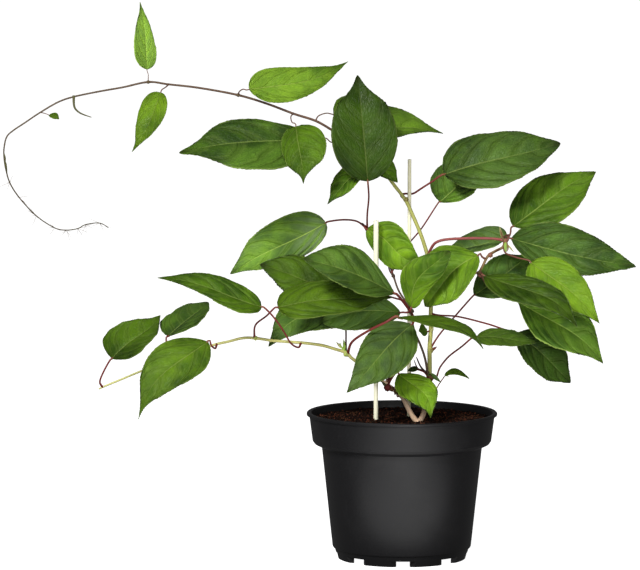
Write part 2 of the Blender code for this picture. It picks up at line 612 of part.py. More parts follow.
def blade_point(leaf, t, v, tooth):
    """Place on the blade's middle layer, in millimetres: t from base to tip, v from -1 to 1 across."""
    form = leaf.form
    along, normal, across = blade_axes(leaf)
    base = Vector(leaf.base)
    length = (Vector(leaf.tip) - base).length
    shape = outline(t, form)
    half = max(BASE_HALF * (1 - t), leaf.width / 2 * shape)
    side = form.lean if v > 0 else -form.lean
    aside = v * (half * (1 + side) + (tooth if abs(v) == 1 else 0))
    arch = math.sin(math.pi * t)
    rise = form.bow * length * arch
    rise += FOLD * abs(aside) - 0.35 * FOLD * aside * aside / (leaf.width / 2)
    rise += WAVE * leaf.width * v * v * math.sin(9 * t + 2.5 * v + leaf.width) * shape
    bend = length * (form.sweep * arch + form.curl * math.sin(2 * math.pi * t))
    return base + along * (t * length) + normal * rise + across * (aside + bend)


def build_blade(leaf, material):
    length = (Vector(leaf.tip) - Vector(leaf.base)).length
    rows = 2 * max(3, min(6, round(length / ROW / 2)))
    columns = 4 if leaf.width > 12 else 2
    shape = bmesh.new()
    bmesh.ops.create_grid(shape, x_segments=rows, y_segments=columns, size=1)
    for point in shape.verts:
        row = round((point.co.x + 1) / 2 * rows)
        t = (row / rows) ** CROWD
        tooth = TOOTH if row % 2 and 1 < row < rows - 1 and columns == 4 else 0.0
        point.co = blade_point(leaf, t, round(point.co.y * columns / 2) * 2 / columns, tooth) * MM
    bmesh.ops.remove_doubles(shape, verts=shape.verts, dist=0.05 * MM)
    bmesh.ops.triangulate(shape, faces=shape.faces, quad_method="FIXED")
    blade = add(leaf.name, to_mesh(shape, leaf.name), material)
    sheet = blade.modifiers.new("Thickness", "SOLIDIFY")
    sheet.thickness = BLADE_THICK
    sheet.offset = 0
    return blade


def build():
    clear_scene()
    build_pot(finish("black_plastic", BLACK, 0.35))
    build_soil(finish("peat", PEAT, 0.95))
    build_sticks(finish("bamboo", BAMBOO, 0.6))
    for shoot in SHOOTS:
        build_shoot(shoot)
    dark = finish("leaf_dark", LEAF_DARK, 0.45)
    bright = finish("leaf_bright", LEAF_BRIGHT, 0.45)
    for leaf in LEAVES:
        build_blade(leaf, bright if leaf.tone > 0.5 else dark)


build()
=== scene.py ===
import math
import random
from collections import namedtuple

import bmesh
import bpy
from mathutils import Matrix, Vector, noise


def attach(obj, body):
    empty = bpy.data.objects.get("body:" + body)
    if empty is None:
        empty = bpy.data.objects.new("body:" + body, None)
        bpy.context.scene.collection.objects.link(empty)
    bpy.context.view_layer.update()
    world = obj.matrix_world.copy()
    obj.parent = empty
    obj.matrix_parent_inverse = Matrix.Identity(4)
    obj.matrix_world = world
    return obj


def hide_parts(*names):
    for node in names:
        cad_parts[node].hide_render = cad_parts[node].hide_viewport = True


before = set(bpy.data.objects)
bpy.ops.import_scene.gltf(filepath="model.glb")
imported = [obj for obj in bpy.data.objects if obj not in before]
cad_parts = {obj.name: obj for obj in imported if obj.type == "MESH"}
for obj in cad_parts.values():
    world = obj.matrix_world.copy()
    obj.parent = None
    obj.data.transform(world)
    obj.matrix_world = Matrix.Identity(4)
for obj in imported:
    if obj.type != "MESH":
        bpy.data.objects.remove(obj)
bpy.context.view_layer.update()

# A potted kiwi vine: fine leaves with veins and teeth, round stems with knots, buds and bristles, a moulded
# pot, peat with crumbs and fibres, and two split-cane sticks. Routes, stems, sticks and leaves are in
# millimetres, as the solids have them, and the rest is in metres.

MM = 0.001

# pot
POT_STEPS = 128
POT_HEIGHT = 117.8 * MM
RIM_RADIUS = 76.5 * MM
COLLAR_LOW = 95.0 * MM
COLLAR_RADIUS = 71.8 * MM
SHOULDER_Z = 90.0 * MM
SHOULDER_RADIUS = 64.4 * MM
BODY_LOW = 9.4 * MM
BODY_RADIUS = 55.8 * MM
FOOT_RADIUS = 51.6 * MM
FOOT_WALL = 2.2 * MM
FOOT_TOP = 54.2 * MM
FLOOR_UNDER = 6.0 * MM
HUB_RADIUS = 9.0 * MM
WALL = 1.5 * MM
LIP = 2.1 * MM
NOTCHES = 8
NOTCH_WIDE = 10.0 * MM
NOTCH_TALL = 4.8 * MM
NOTCH_FLARE = 3.0  # how much wider each notch is outside than inside
NOTCH_IN = 48.9 * MM
NOTCH_OUT = 54.5 * MM
DRAIN_RADIUS = 3.5 * MM
DRAIN_AT = 38.0 * MM
EDGE = 0.3 * MM  # rounding of the pot's edges
EDGE_ANGLE = 25  # degrees: what bends more than this is an edge

# peat
SOIL_Z = 112.0 * MM
PEAT_GAP = 0.3 * MM  # between the peat and the pot
PEAT_RINGS = 44
LUMP = 1.3 * MM
NECK = (13.0 * MM, -16.0 * MM)
CALM = 14.0 * MM  # the peat is level this close round the vine's neck
ROUGH = 0.55 * MM  # small unevenness on top of the lumps
CRUMBS = 2600
CRUMB_SIZE = 1.35 * MM
FIBRES = 230
BATCH = 40  # small shapes made at a time

# sticks: centre, radius at the bottom, radius at the top, height of the top, all in millimetres
STICK_FOOT = 22.0 * MM
STICK_RINGS = 40
STICKS = {
    "stick_front": ((-21.0, -3.0), 1.65, 2.05, 272.0),
    "stick_rear": ((6.0, 14.0), 1.6, 1.5, 320.0),
}

# leaves
BASE_HALF = 1.1  # half width of a blade at its stalk, in millimetres
FOLD = 0.19  # how steeply the halves rise from the midrib
WAVE = 0.025  # height of the margin's waves, as a share of the width
CROWD = 1.3  # above 1, the rows crowd towards the base
TIP_FROM = 0.68  # where the blade begins to narrow to its drawn-out tip
TIP_LONG = 0.27
BLADE_THICK = 1.1 * MM  # at the midrib; the rest of the blade is thinner
THIN = 0.42  # the blade's share of that thickness
SLANT = 0.6  # how far a side vein climbs on its way to the margin, as a share of the length
STRAY = 0.6  # the share of that climb that goes evenly with the way out
VEINS = 7  # side veins on each half
ROWS_PER_VEIN = 10
HALF_COLUMNS = 12
TOOTH = 0.5  # how far a tooth stands out, in millimetres
TOOTH_BACK = 0.35  # how far the margin goes back between two teeth, as a share of that
SMALL = 12  # a leaf narrower than this, in millimetres, is made of fewer faces
FULL = 40  # from this width, in millimetres, a blade has its full relief and teeth

# stems, in millimetres
STALK = 0.8
STRAIGHT = 2.5  # a stalk's straight end
RING = 1.6  # between a stem's rings
RING_STALK = 1.5
FLARE_FOOT = 0.5  # how much thicker a stalk is at its foot and at its blade
FLARE_BLADE = 0.15
FINE = 10  # steps between two points of a route
KNOT_HIGH = 0.75  # a knot's height and spread, as shares of its size
KNOT_WIDE = 1.1
HAIR_FOOT = 0.07  # a bristle's radius at either end
HAIR_TIP = 0.015
SLIM = 0.92  # the real stalks and shoots are finer than the solids'
SLIM_STALKS = {"runner": 0.62}
SLIM_SHOOTS = {"right_shoot": 0.78, "left_shoot": 0.8, "middle_shoot": 0.65}

# colours, linear
TAN = (0.97, 0.69, 0.48)
LIGHT_BROWN = (0.22, 0.14, 0.06)
DARK_OLIVE = (0.09, 0.09, 0.03)
STRAW = (0.47, 0.45, 0.15)
OLIVE_GREY = (0.075, 0.07, 0.035)
DUSKY = (0.15, 0.08, 0.055)
BROWN = (0.16, 0.075, 0.035)
DARK_BROWN = (0.045, 0.022, 0.015)
OLIVE = (0.42, 0.43, 0.12)
PALE_GREEN = (0.56, 0.56, 0.22)
FRESH = (0.32, 0.5, 0.08)
LEAFY = (0.09, 0.17, 0.03)
WINE = (0.15, 0.024, 0.02)
RED = (0.3, 0.075, 0.07)
PINK = (0.17, 0.065, 0.045)
PLUM = (0.09, 0.055, 0.035)
GREY_BROWN = (0.2, 0.14, 0.11)
WHITE_WOOD = (0.7, 0.62, 0.45)
STREAK = (0.5, 0.45, 0.42)
WORN = (1.45, 1.35, 1.1)
PORE = (1.7, 1.6, 1.5)
LEAF_SHADE = (0.46, 0.52, 0.4)
LEAF_TIP = (0.03, 0.035, 0.01)
CREAM_CANE = ((0.95, 0.93, 0.72), (0.88, 0.83, 0.56))  # a stick's pale and dark fibres
YELLOW_CANE = ((0.98, 0.95, 0.7), (0.92, 0.86, 0.52))
BLACK_PLASTIC = (0.0055, 0.0053, 0.006)
DUSTY_PLASTIC = (0.013, 0.0125, 0.013)
WET_PEAT = (0.013, 0.006, 0.004)
PEAT_BLACK = (0.005, 0.002, 0.0015)
PEAT_FLECK = (0.14, 0.035, 0.018)
PEAT_CRUMBS = [PEAT_BLACK, (0.025, 0.009, 0.005), (0.13, 0.04, 0.02), (0.01, 0.004, 0.003)]
PEAT_FIBRES = [(0.1, 0.045, 0.025), (0.16, 0.075, 0.035), (0.06, 0.025, 0.015)]

# the leaves whose slot name is leaf_bright rather than leaf
BRIGHT = {
    "base_bright", "centre_front", "centre_right", "low_bright", "middle_bright", "right_bright",
    "runner_bright", "runner_hanging", "runner_small", "runner_upright",
}

# greens of the darkest and of the brightest leaf, between which a leaf's tone picks its own
DEEP = ((0.009, 0.032, 0.0015), (0.105, 0.25, 0.01))
LIGHT = ((0.062, 0.155, 0.005), (0.3, 0.53, 0.02))
PALE = ((0.25, 0.35, 0.08), (0.44, 0.6, 0.1))
# the grey-greens of the painted sheen that stands for the lamps' gloss on some leaves
SHEEN_GREENS = ((0.14, 0.2, 0.1), (0.23, 0.33, 0.14))
UNDER_DEEP = ((0.07, 0.135, 0.045), (0.16, 0.29, 0.06))
UNDER_LIGHT = ((0.12, 0.2, 0.075), (0.24, 0.38, 0.09))
UNDER_PALE = ((0.24, 0.32, 0.13), (0.38, 0.48, 0.17))

# sizes of the leaves' patterns, the painted highlight clouds and painted shade blotches among them: the
# higher, the finer
WANDER = 55.0
HIGHLIGHT_CLOUDS = 17.0
SHADE_BLOTCHES = 31.0
MOTTLES = 55.0
CREASES = 210.0
SPECKS = 700.0

# camera and lamps, in metres and watts
CAMERA = (-0.0658, -3.0, 0.502)
CAMERA_DOWN = 5.37  # degrees below level
LENS = 211.7
MIDDLE = (-0.06, 0, 0.22)
Lamp = namedtuple("Lamp", "name place target wide tall power")
LAMPS = [
    Lamp("key", (-1.0, -2.0, 1.9), MIDDLE, 0.6, 0.6, 72),
    Lamp("fill", (0.4, -2.8, 0.6), MIDDLE, 1.0, 1.1, 34),
    Lamp("bounce", (0.01, -0.5, 0.004), (0.01, -0.5, 1.0), 0.36, 0.84, 1.2),
]
WORLD_LIGHT = 0.12

# A branch: the points that it runs through, and its radius at the start and at the end. A knot: x, y, z and
# size.
Branch = namedtuple("Branch", "route thick thin")
Shoot = namedtuple("Shoot", "name branches knots")

SHOOTS = [
    Shoot(
        "woody_base",
        [
            Branch([(13, -16, 62), (13, -16, 90), (13, -16, 114)], 3.4, 3.7),
            Branch(
                [(13, -16, 111), (16, -15, 116), (18, -14, 122), (20, -12, 131), (22, -10, 139),
                 (22, -9, 146)],
                2.2, 2.0,
            ),
            Branch(
                [(13, -16, 111), (9, -17, 115), (5, -18, 122), (1, -19, 130), (-3, -19, 135), (-8, -20, 139),
                 (-16, -20, 145)],
                2.2, 1.6,
            ),
            Branch([(-10, -20, 140), (-13, -18, 144), (-8, -16, 148)], 1.4, 0.9),
            Branch([(-3, -19, 135), (-4, -21, 138), (-5, -22, 141)], 1.4, 0.8),
        ],
        [(22, -9, 146, 3.0), (-9, -20, 139, 2.2), (-3, -19, 134, 2.3), (-12, -18, 144, 1.8)],
    ),
    Shoot(
        "main_cane",
        [
            Branch(
                [(22, -9, 146), (22, -6, 159), (22, -3, 170), (23, -1, 184), (23, 0, 197), (23, 2, 210),
                 (22, 3, 225), (21, 5, 240), (19, 6, 248), (15, 7, 260), (10, 8, 272), (3, 8, 287),
                 (-6, 8, 299), (-12, 8, 307), (-21, 8, 317), (-32, 8, 328)],
                1.9, 1.3,
            ),
        ],
        [(23, -3, 168, 2.4), (3, 8, 288, 2.1)],
    ),
    Shoot(
        "runner",
        [
            Branch(
                [(-32, 8, 328), (-39, 8, 334), (-55, 8, 343), (-69, 6, 351), (-87, 4, 357), (-108, 2, 365),
                 (-131, 0, 372), (-162, -6, 378), (-186, -11, 381), (-202, -15, 383), (-222, -20, 379),
                 (-240, -25, 376), (-260, -30, 372), (-272, -33, 368), (-286, -37, 360), (-298, -41, 352),
                 (-307, -44, 346), (-312, -46, 341), (-314, -47, 332), (-314, -47, 325), (-313, -46, 317),
                 (-310, -43, 305), (-303, -39, 293), (-290, -33, 278), (-276, -27, 268), (-267, -24, 266),
                 (-258, -21, 267), (-252, -19, 270), (-241, -16, 271), (-234, -14, 267)],
                1.1, 0.35,
            ),
            Branch([(-314, -47, 328), (-313, -48, 325), (-313, -48, 322)], 0.5, 0.5),
        ],
        [(-202, -15, 383, 1.4), (-131, 0, 372, 1.5)],
    ),
    Shoot(
        "left_shoot",
        [
            Branch(
                [(-16, -20, 145), (-26, -20, 152), (-36, -21, 160), (-41, -22, 164), (-45, -22, 168),
                 (-54, -23, 171), (-64, -24, 174), (-78, -25, 176), (-90, -26, 177), (-103, -26, 178),
                 (-117, -26, 180), (-127, -25, 180), (-139, -24, 177), (-151, -22, 174), (-169, -19, 167),
                 (-189, -17, 160), (-209, -13, 152), (-225, -10, 145), (-239, -8, 139), (-243, -8, 137)],
                1.7, 1.0,
            ),
            Branch([(-46, -22, 168), (-47, -22, 172), (-46, -22, 176)], 1.0, 0.6),
            Branch([(-45, -22, 168), (-49, -23, 173), (-50, -23, 176)], 0.9, 0.5),
        ],
        [(-45, -22, 167, 2.3), (-117, -26, 180, 1.8)],
    ),
    Shoot(
        "middle_shoot",
        [
            Branch(
                [(22, -9, 146), (20, -14, 151), (19, -15, 158), (17, -15, 166), (14, -14, 174),
                 (10, -13, 183), (8, -12, 191), (7, -12, 199), (3, -10, 207), (-3, -4, 216), (-7, 3, 227),
                 (-10, 7, 235), (-15, 10, 243), (-22, 11, 252), (-27, 12, 259), (-28, 12, 265)],
                1.6, 1.0,
            ),
            Branch([(20, -13, 150), (17, -15, 153), (14, -16, 157), (11, -16, 164)], 1.0, 0.5),
            Branch([(17, -15, 153), (12, -17, 155), (9, -17, 162)], 0.7, 0.4),
            Branch([(-7, 3, 227), (-10, 4, 231), (-11, 6, 236)], 0.7, 0.5),
            Branch([(-28, 12, 263), (-31, 11, 268), (-33, 10, 269)], 0.8, 0.5),
        ],
        [(7, -12, 200, 2.3), (-7, 3, 227, 1.5), (-28, 12, 264, 1.8)],
    ),
    Shoot(
        "right_shoot",
        [
            Branch(
                [(20.5, 5, 243), (24, 0, 251), (28, -3, 255), (36, -4, 257), (53, -6, 258), (70, -8, 258),
                 (79, -8, 257), (83, -8, 256)],
                1.5, 1.3,
            ),
            Branch(
                [(82, -8, 256), (80, -8, 251), (74, -9, 248), (68, -11, 244), (64, -14, 237), (60, -17, 230)],
                1.2, 1.0,
            ),
            Branch([(62, -15, 233), (57, -14, 230), (53, -13, 229)], 0.8, 0.6),
            Branch([(81, -8, 256), (79, -11, 261), (78, -12, 265)], 1.0, 0.5),
            Branch([(82, -8, 256), (84, -12, 251), (83, -14, 248)], 0.9, 0.5),
        ],
        [(82, -8, 256, 2.2), (70, -11, 245, 2.0)],
    ),
]

# A blade's form. peak: where along its length it is widest; full: below 1 it rounds out, above 1 it is
# slim; drip: how much the tip is drawn out; lean: how much wider its one half is. sweep: the midrib's
# sideways bend, curl: its double bend, and bow: how far it arches towards the upper face, as shares of the
# length.
Form = namedtuple("Form", "peak full drip lean sweep curl bow")

# A leaf: its shoot, the points its stalk runs through, the blade's base and tip, and its width, in
# millimetres; turn: degrees from facing the viewer towards the sky; tone: 0 dark to 1 bright; radius: of
# the stalk, in millimetres.
Leaf = namedtuple("Leaf", "name shoot stalk base tip width turn tone form radius", defaults=(STALK,))

LEAVES = [
    Leaf("runner_upright", "runner", [(-202, -15, 383), (-202, -13, 389)],
         (-203, -11, 393), (-209, 4, 446), 22, 40, 0.6, Form(0.26, 1, 0.35, 0.2, 0, 0, 0.04), 0.5),
    Leaf("runner_hanging", "runner", [(-186, -11, 381), (-188, -15, 379)],
         (-192, -20, 375), (-214, -38, 329), 24, 32, 0.7, Form(0.3, 0.85, 0.5, -0.05, 0.08, -0.01, 0.04)),
    Leaf("runner_small", "runner", [(-286, -37, 360), (-282, -36, 359)],
         (-279, -36, 358), (-271, -40, 355), 7, 50, 0.35, Form(0.4, 0.65, 0.3, 0.15, 0, 0.02, 0.05), 0.5),
    Leaf("runner_bright", "runner", [(-131, 0, 372), (-130, -4, 375), (-127, -7, 377)],
         (-122, -8, 377), (-43, 26, 398), 30, 16, 0.85, Form(0.27, 1, 0.35, 0, -0.07, 0.01, 0.01)),
    Leaf("crown_long", "runner", [(-46, 8, 338), (-51, 10, 334), (-57, 8, 334)],
         (-63, 6, 337), (-177, -34, 328), 56, 46, 0.15, Form(0.53, 0.6, 0.65, 0.25, 0, 0.01, 0.04)),
    Leaf("crown_hanging", "runner", [(-87, 4, 357), (-89, -5, 355), (-88, -14, 351)],
         (-85, -18, 348), (-79, -43, 304), 36, -9, 0.3, Form(0.39, 0.6, 0.85, 0.25, 0.02, -0.01, 0.06)),
    Leaf("crown_back", "runner", [(-69, 6, 352), (-67, 9, 355), (-61, 12, 357)],
         (-55, 14, 356), (34, 46, 339), 48, 56, 0.45, Form(0.27, 1, 0.45, 0.25, -0.09, -0.04, 0.04)),
    Leaf("crown_front", "middle_shoot", [(-28, 12, 264), (-28, 3, 276), (-27, -13, 291)],
         (-28, -26, 305), (-36, -6, 388), 52, 5, 0.1, Form(0.4, 0.65, 0.6, 0, 0, 0, 0.05)),
    Leaf("crown_under_left", "main_cane", [(-15, 8, 310), (-22, 1, 315)],
         (-29, -6, 314), (-60, -16, 286), 28, 55, 0.35, Form(0.39, 0.95, 0.45, 0, -0.03, -0.03, 0.06)),
    Leaf("crown_under_right", "main_cane", [(-19, 8, 315), (-23, 0, 326)],
         (-25, -5, 329), (-4, -12, 303), 30, 50, 0.2, Form(0.32, 0.8, 0.2, -0.05, -0.13, -0.01, 0.03)),
    Leaf("middle_bright", "middle_shoot", [(-28, 12, 264), (-30, 10, 267)],
         (-28, 8, 264), (14, 1, 236), 31, -8, 0.95, Form(0.45, 0.6, 0.15, 0.1, -0.01, 0.04, 0.03)),
    Leaf("middle_far_left", "middle_shoot", [(-28, 12, 264), (-36, 14, 270), (-47, 18, 271)],
         (-61, 24, 268), (-139, 52, 224), 36, 8, 0.35, Form(0.33, 0.7, 0.4, -0.15, -0.01, 0.01, 0.04)),
    Leaf("middle_veined", "middle_shoot", [(7, -12, 200), (0, -20, 209)],
         (-7, -27, 216), (-79, -56, 246), 44, 48, 0.2, Form(0.5, 0.8, 0.15, -0.05, -0.01, 0, 0.05), 1.1),
    Leaf("low_bright", "left_shoot", [(-118, -26, 180), (-117, -31, 191), (-108, -37, 199)],
         (-99, -40, 206), (-8, -20, 212), 45, 56, 0.6, Form(0.29, 0.75, 0.5, -0.1, 0, 0.01, 0.04)),
    Leaf("upper_narrow", "left_shoot",
         [(-81, -25, 176), (-83, -30, 173), (-89, -35, 177), (-94, -39, 186), (-102, -43, 198)],
         (-112, -46, 207), (-193, -66, 232), 31, 52, 0.35, Form(0.29, 0.9, 0.35, 0, 0, 0.02, 0.05)),
    Leaf("low_dark_left", "left_shoot", [(-45, -22, 168), (-45, -8, 174), (-45, 8, 184), (-46, 24, 193)],
         (-51, 26, 195), (-107, -14, 172), 43, 45, 0.1, Form(0.26, 0.75, 0.4, 0.1, -0.12, 0, 0.08)),
    Leaf("low_dark_right", "middle_shoot", [(7, -12, 200), (3, -12, 199)],
         (-2, -12, 199), (-64, -14, 192), 31, 18, 0.1, Form(0.5, 0.6, 0.15, 0, -0.07, 0, 0.04)),
    Leaf("middle_serrate", "middle_shoot", [(2, -10, 208), (-12, -8, 212), (-24, -7, 216), (-33, -3, 217)],
         (-40, 2, 216), (-114, 6, 236), 40, 30, 0.35, Form(0.42, 0.75, 0.2, 0, 0.06, 0.02, 0.04)),
    Leaf("front_large", "middle_shoot", [(8, -12, 199), (9, -19, 196)],
         (7, -26, 191), (-45, -64, 141), 41, 21, 0.2, Form(0.38, 1, 0.15, 0.1, 0, -0.01, 0.05)),
    Leaf("front_narrow", "left_shoot", [(-44, -22, 167), (-40, -32, 178), (-27, -43, 188), (-14, -48, 195)],
         (-4, -48, 199), (62, -76, 177), 34, 78, 0.4, Form(0.42, 0.85, 0.75, -0.2, 0.16, -0.07, 0.06), 1.1),
    Leaf("base_bright", "woody_base", [(-12, -20, 141), (-9, -23, 147)],
         (-3, -24, 151), (22, -38, 118), 29, 31, 0.8, Form(0.41, 0.95, 0.35, -0.15, 0.15, -0.04, 0.05)),
    Leaf("base_dark", "woody_base", [(22, -9, 146), (20, -17, 148), (17, -19, 152)],
         (12, -16, 154), (4, -14, 153), 8, 64, 0.05, Form(0.4, 0.8, 0.5, 0.05, 0, 0.02, 0.05), 0.5),
    Leaf("cane_leaflet", "main_cane", [(22, 1, 183), (21, -3, 183)],
         (20, -5, 183), (13, -9, 184), 11, 35, 0.1, Form(0.5, 0.75, 0.4, 0, -0.1, 0, 0.05), 0.5),
    Leaf("base_small", "woody_base", [(21, -11, 133), (26, -10, 136), (30, -9, 142)],
         (34, -6, 148), (54, -4, 145), 8, 62, 0.3, Form(0.38, 0.6, 0.3, 0.3, 0.15, 0.02, 0.09), 0.5),
    Leaf("right_top", "main_cane",
         [(3, 8, 288), (-1, 14, 291), (3, 19, 292), (9, 19, 292), (15, 16, 296), (24, 14, 302)],
         (34, 13, 308), (128, 30, 332), 61, 47, 0.15, Form(0.36, 0.65, 0.3, -0.05, -0.04, 0.01, 0.05), 0.9),
    Leaf("right_top_back", "middle_shoot", [(-8, 2, 230), (-2, 11, 241), (5, 18, 251), (16, 20, 264)],
         (31, 24, 285), (78, 50, 315), 49, 54, 0.15, Form(0.38, 0.7, 0.5, 0.15, 0.05, -0.03, 0.06), 0.7),
    Leaf("right_upper", "right_shoot", [(82, -8, 256), (86, -4, 261)],
         (89, 4, 267), (158, 46, 308), 51, 44, 0.35, Form(0.36, 0.9, 0.15, -0.1, 0, -0.01, 0.05)),
    Leaf("right_outer", "right_shoot", [(83, -8, 256), (85, -9, 258)],
         (87, -8, 258), (186, -15, 236), 40, 22, 0.1, Form(0.39, 0.85, 0.2, 0.1, -0.03, 0, 0.03)),
    Leaf("right_bright", "right_shoot", [(80, -8, 252), (82, -15, 247), (91, -24, 244)],
         (101, -31, 241), (154, -57, 195), 36, 17, 0.9,
         Form(0.33, 0.95, 0.25, -0.05, 0.04, -0.01, 0.04), 0.7),
    Leaf("right_long", "right_shoot", [(60, -17, 230), (62, -29, 229)],
         (64, -38, 231), (134, -95, 196), 35, 48, 0.3, Form(0.41, 1, 0.4, -0.2, 0.09, -0.03, 0.03)),
    Leaf("right_low", "right_shoot", [(62, -15, 232), (68, -12, 220), (80, -9, 211)],
         (93, -9, 207), (160, -20, 159), 48, 40, 0.3, Form(0.45, 1, 0.3, -0.05, 0.04, -0.02, 0.05)),
    Leaf("right_lowest", "main_cane",
         [(23, 0, 197), (30, -4, 196), (45, -5, 195), (68, -2, 189), (82, 2, 184)],
         (92, 4, 180), (136, 10, 140), 37, 34, 0.05, Form(0.45, 0.7, 0.35, 0, 0.01, 0.01, 0.05)),
    Leaf("right_small", "woody_base",
         [(22, -9, 146), (27, -12, 147), (30, -13, 155), (37, -14, 164), (47, -16, 172)],
         (59, -16, 180), (105, -40, 178), 24, 60, 0.4, Form(0.38, 0.6, 0.3, -0.1, -0.02, 0.02, 0.04)),
    Leaf("right_dark", "main_cane", [(23, -3, 168), (30, 1, 180), (42, 3, 194)],
         (58, 0, 212), (104, 26, 243), 38, 32, 0.05, Form(0.46, 0.75, 0.5, -0.15, -0.04, 0, 0.05)),
    Leaf("right_back", "right_shoot", [(79, -8, 257), (83, -2, 260)],
         (84, 3, 259), (36, 18, 243), 27, 56, 0.15, Form(0.39, 0.6, 0.15, -0.3, 0.06, 0.02, 0.05)),
    Leaf("centre_right", "right_shoot", [(66, -12, 242), (63, -13, 244)],
         (60, -14, 245), (18, -13, 204), 47, 34, 0.65, Form(0.46, 0.7, 0.25, -0.1, -0.06, -0.02, 0.05)),
    Leaf("centre_front", "middle_shoot", [(7, -12, 200), (6, -17, 200)],
         (7, -22, 204), (37, -30, 250), 27, 10, 0.6, Form(0.46, 0.6, 0.15, 0.05, 0.14, 0.03, 0.05)),
    Leaf("left_low", "left_shoot", [(-240, -8, 139), (-242, -9, 143), (-239, -10, 151)],
         (-232, -10, 162), (-194, 8, 195), 50, 56, 0.3, Form(0.33, 0.9, 0.3, 0.05, -0.08, 0.04, 0.05)),
    Leaf("left_dark", "left_shoot", [(-189, -17, 160), (-188, -14, 169)],
         (-187, -10, 180), (-156, 14, 205), 42, 64, 0.15, Form(0.42, 0.6, 0.35, 0.05, -0.06, 0.02, 0.04)),
    Leaf("left_front", "left_shoot", [(-148, -23, 175), (-149, -28, 172), (-152, -33, 175)],
         (-155, -34, 178), (-209, -58, 119), 39, 17, 0.55, Form(0.34, 1.1, 0.6, 0, -0.1, 0.02, 0.06)),
]

# how each shoot is coloured from its foot to its end, then its side twigs, and then its leaves' stalks
Tones = namedtuple("Tones", "foot end twig stalk bristles")
TONES = {
    "woody_base": Tones(TAN, TAN, WINE, WINE, 60),
    "main_cane": Tones(OLIVE, OLIVE, BROWN, WINE, 260),
    "runner": Tones(DUSKY, OLIVE_GREY, DARK_OLIVE, DUSKY, 300),
    "left_shoot": Tones(STRAW, PALE_GREEN, FRESH, WINE, 300),
    "middle_shoot": Tones(PLUM, PLUM, DARK_BROWN, WINE, 240),
    "right_shoot": Tones(RED, RED, LIGHT_BROWN, PINK, 160),
}

STEM_SLOTS = {
    "woody_base": "bark",
    "main_cane": "cane",
    "runner": "bark",
    "left_shoot": "cane",
    "middle_shoot": "red_stem",
    "right_shoot": "red_stem",
}

# the runner's hanging twig, in millimetres
TWIG = [
    (-260, -30, 373), (-260, -31, 367), (-259, -32, 363),
    (-256, -33, 360), (-252, -33.5, 358), (-246, -34, 356),
]
TWIG_THICK = 1.15
TWIG_TAPER = 0.8

# the leaves that differ most: depth of the quilting between the veins, painted grey sheen, how light the
# green is (partly the leaf's own green, partly painted light: leaves in the shade of others are lightened,
# leaves facing the lamps darkened), and how far the teeth stand out
Look = namedtuple("Look", "quilt bloom light tooth", defaults=(1.5, 0.0, 0.9, TOOTH))
LOOKS = {
    "base_bright": Look(1.1, 0.0, 1.1, 1.2),
    "crown_back": Look(1.2, 0.1, 0.8),
    "crown_front": Look(0.5, 0.0, 0.4),
    "crown_hanging": Look(0.8, 0.0, 0.68),
    "crown_long": Look(1.8, 0.12, 0.82),
    "crown_under_left": Look(1.4, 0.0, 1.1),
    "crown_under_right": Look(1.4, 0.0, 1.7),
    "front_large": Look(1.4, 0.45, 0.8),
    "front_narrow": Look(1.1, 0.0, 0.44),
    "left_dark": Look(0.7, 0.15, 0.85),
    "left_front": Look(1.0, 0.0, 0.6),
    "left_low": Look(0.7, 0.0, 0.56),
    "low_bright": Look(1.5, 0.0, 0.48),
    "low_dark_left": Look(1.2, 0.5, 1.5),
    "low_dark_right": Look(1.2, 0.4, 1.6),
    "middle_far_left": Look(1.4, 0.9, 2.0),
    "middle_serrate": Look(1.8, 0.0, 0.5, 1.1),
    "middle_veined": Look(2.2, 0.2, 0.9),
    "right_back": Look(1.0, 0.5, 1.1),
    "right_bright": Look(0.4, 0.0, 0.68),
    "right_dark": Look(1.2, 0.3, 1.3),
    "right_long": Look(1.5, 0.0, 0.54),
    "right_low": Look(1.6, 0.3, 2.3),
    "right_lowest": Look(1.2, 0.1, 0.75, 0.75),
    "right_outer": Look(2.6, 0.2, 0.95, 0.75),
    "right_small": Look(1.1, 0.1, 0.6),
    "right_top": Look(2.4, 0.2, 0.68),
    "right_top_back": Look(1.4, 0.3, 1.3),
    "right_upper": Look(1.8, 0.05, 0.9),
    "runner_bright": Look(0.8, 0.1, 0.8),
    "runner_hanging": Look(0.5, 0.0, 0.66),
    "runner_upright": Look(0.35, 0.4, 1.5),
}


# finishes

class Value:
    """A shader socket that takes Python's arithmetic."""

    def __init__(self, finish, socket):
        self.finish = finish
        self.socket = socket

    def maths(self, operation, *values):
        return self.finish.node("ShaderNodeMath", {"operation": operation}, dict(enumerate(values)))

    def __add__(self, other):
        return self.maths("ADD", self, other)

    def __mul__(self, other):
        return self.maths("MULTIPLY", self, other)

    def __sub__(self, other):
        return self.maths("SUBTRACT", self, other)

    def __rsub__(self, other):
        return self.maths("SUBTRACT", other, self)

    def __abs__(self):
        return self.maths("ABSOLUTE", self)

    def __gt__(self, other):
        return self.maths("GREATER_THAN", self, other)

    __radd__ = __add__
    __rmul__ = __mul__

    def fraction(self):
        return self.maths("FRACT", self)

    def ease(self, low, high):
        """0 below low, 1 above high, and smooth between."""
        sockets = {"Value": self, "From Min": low, "From Max": high}
        return self.finish.node("ShaderNodeMapRange", {"interpolation_type": "SMOOTHSTEP"}, sockets)


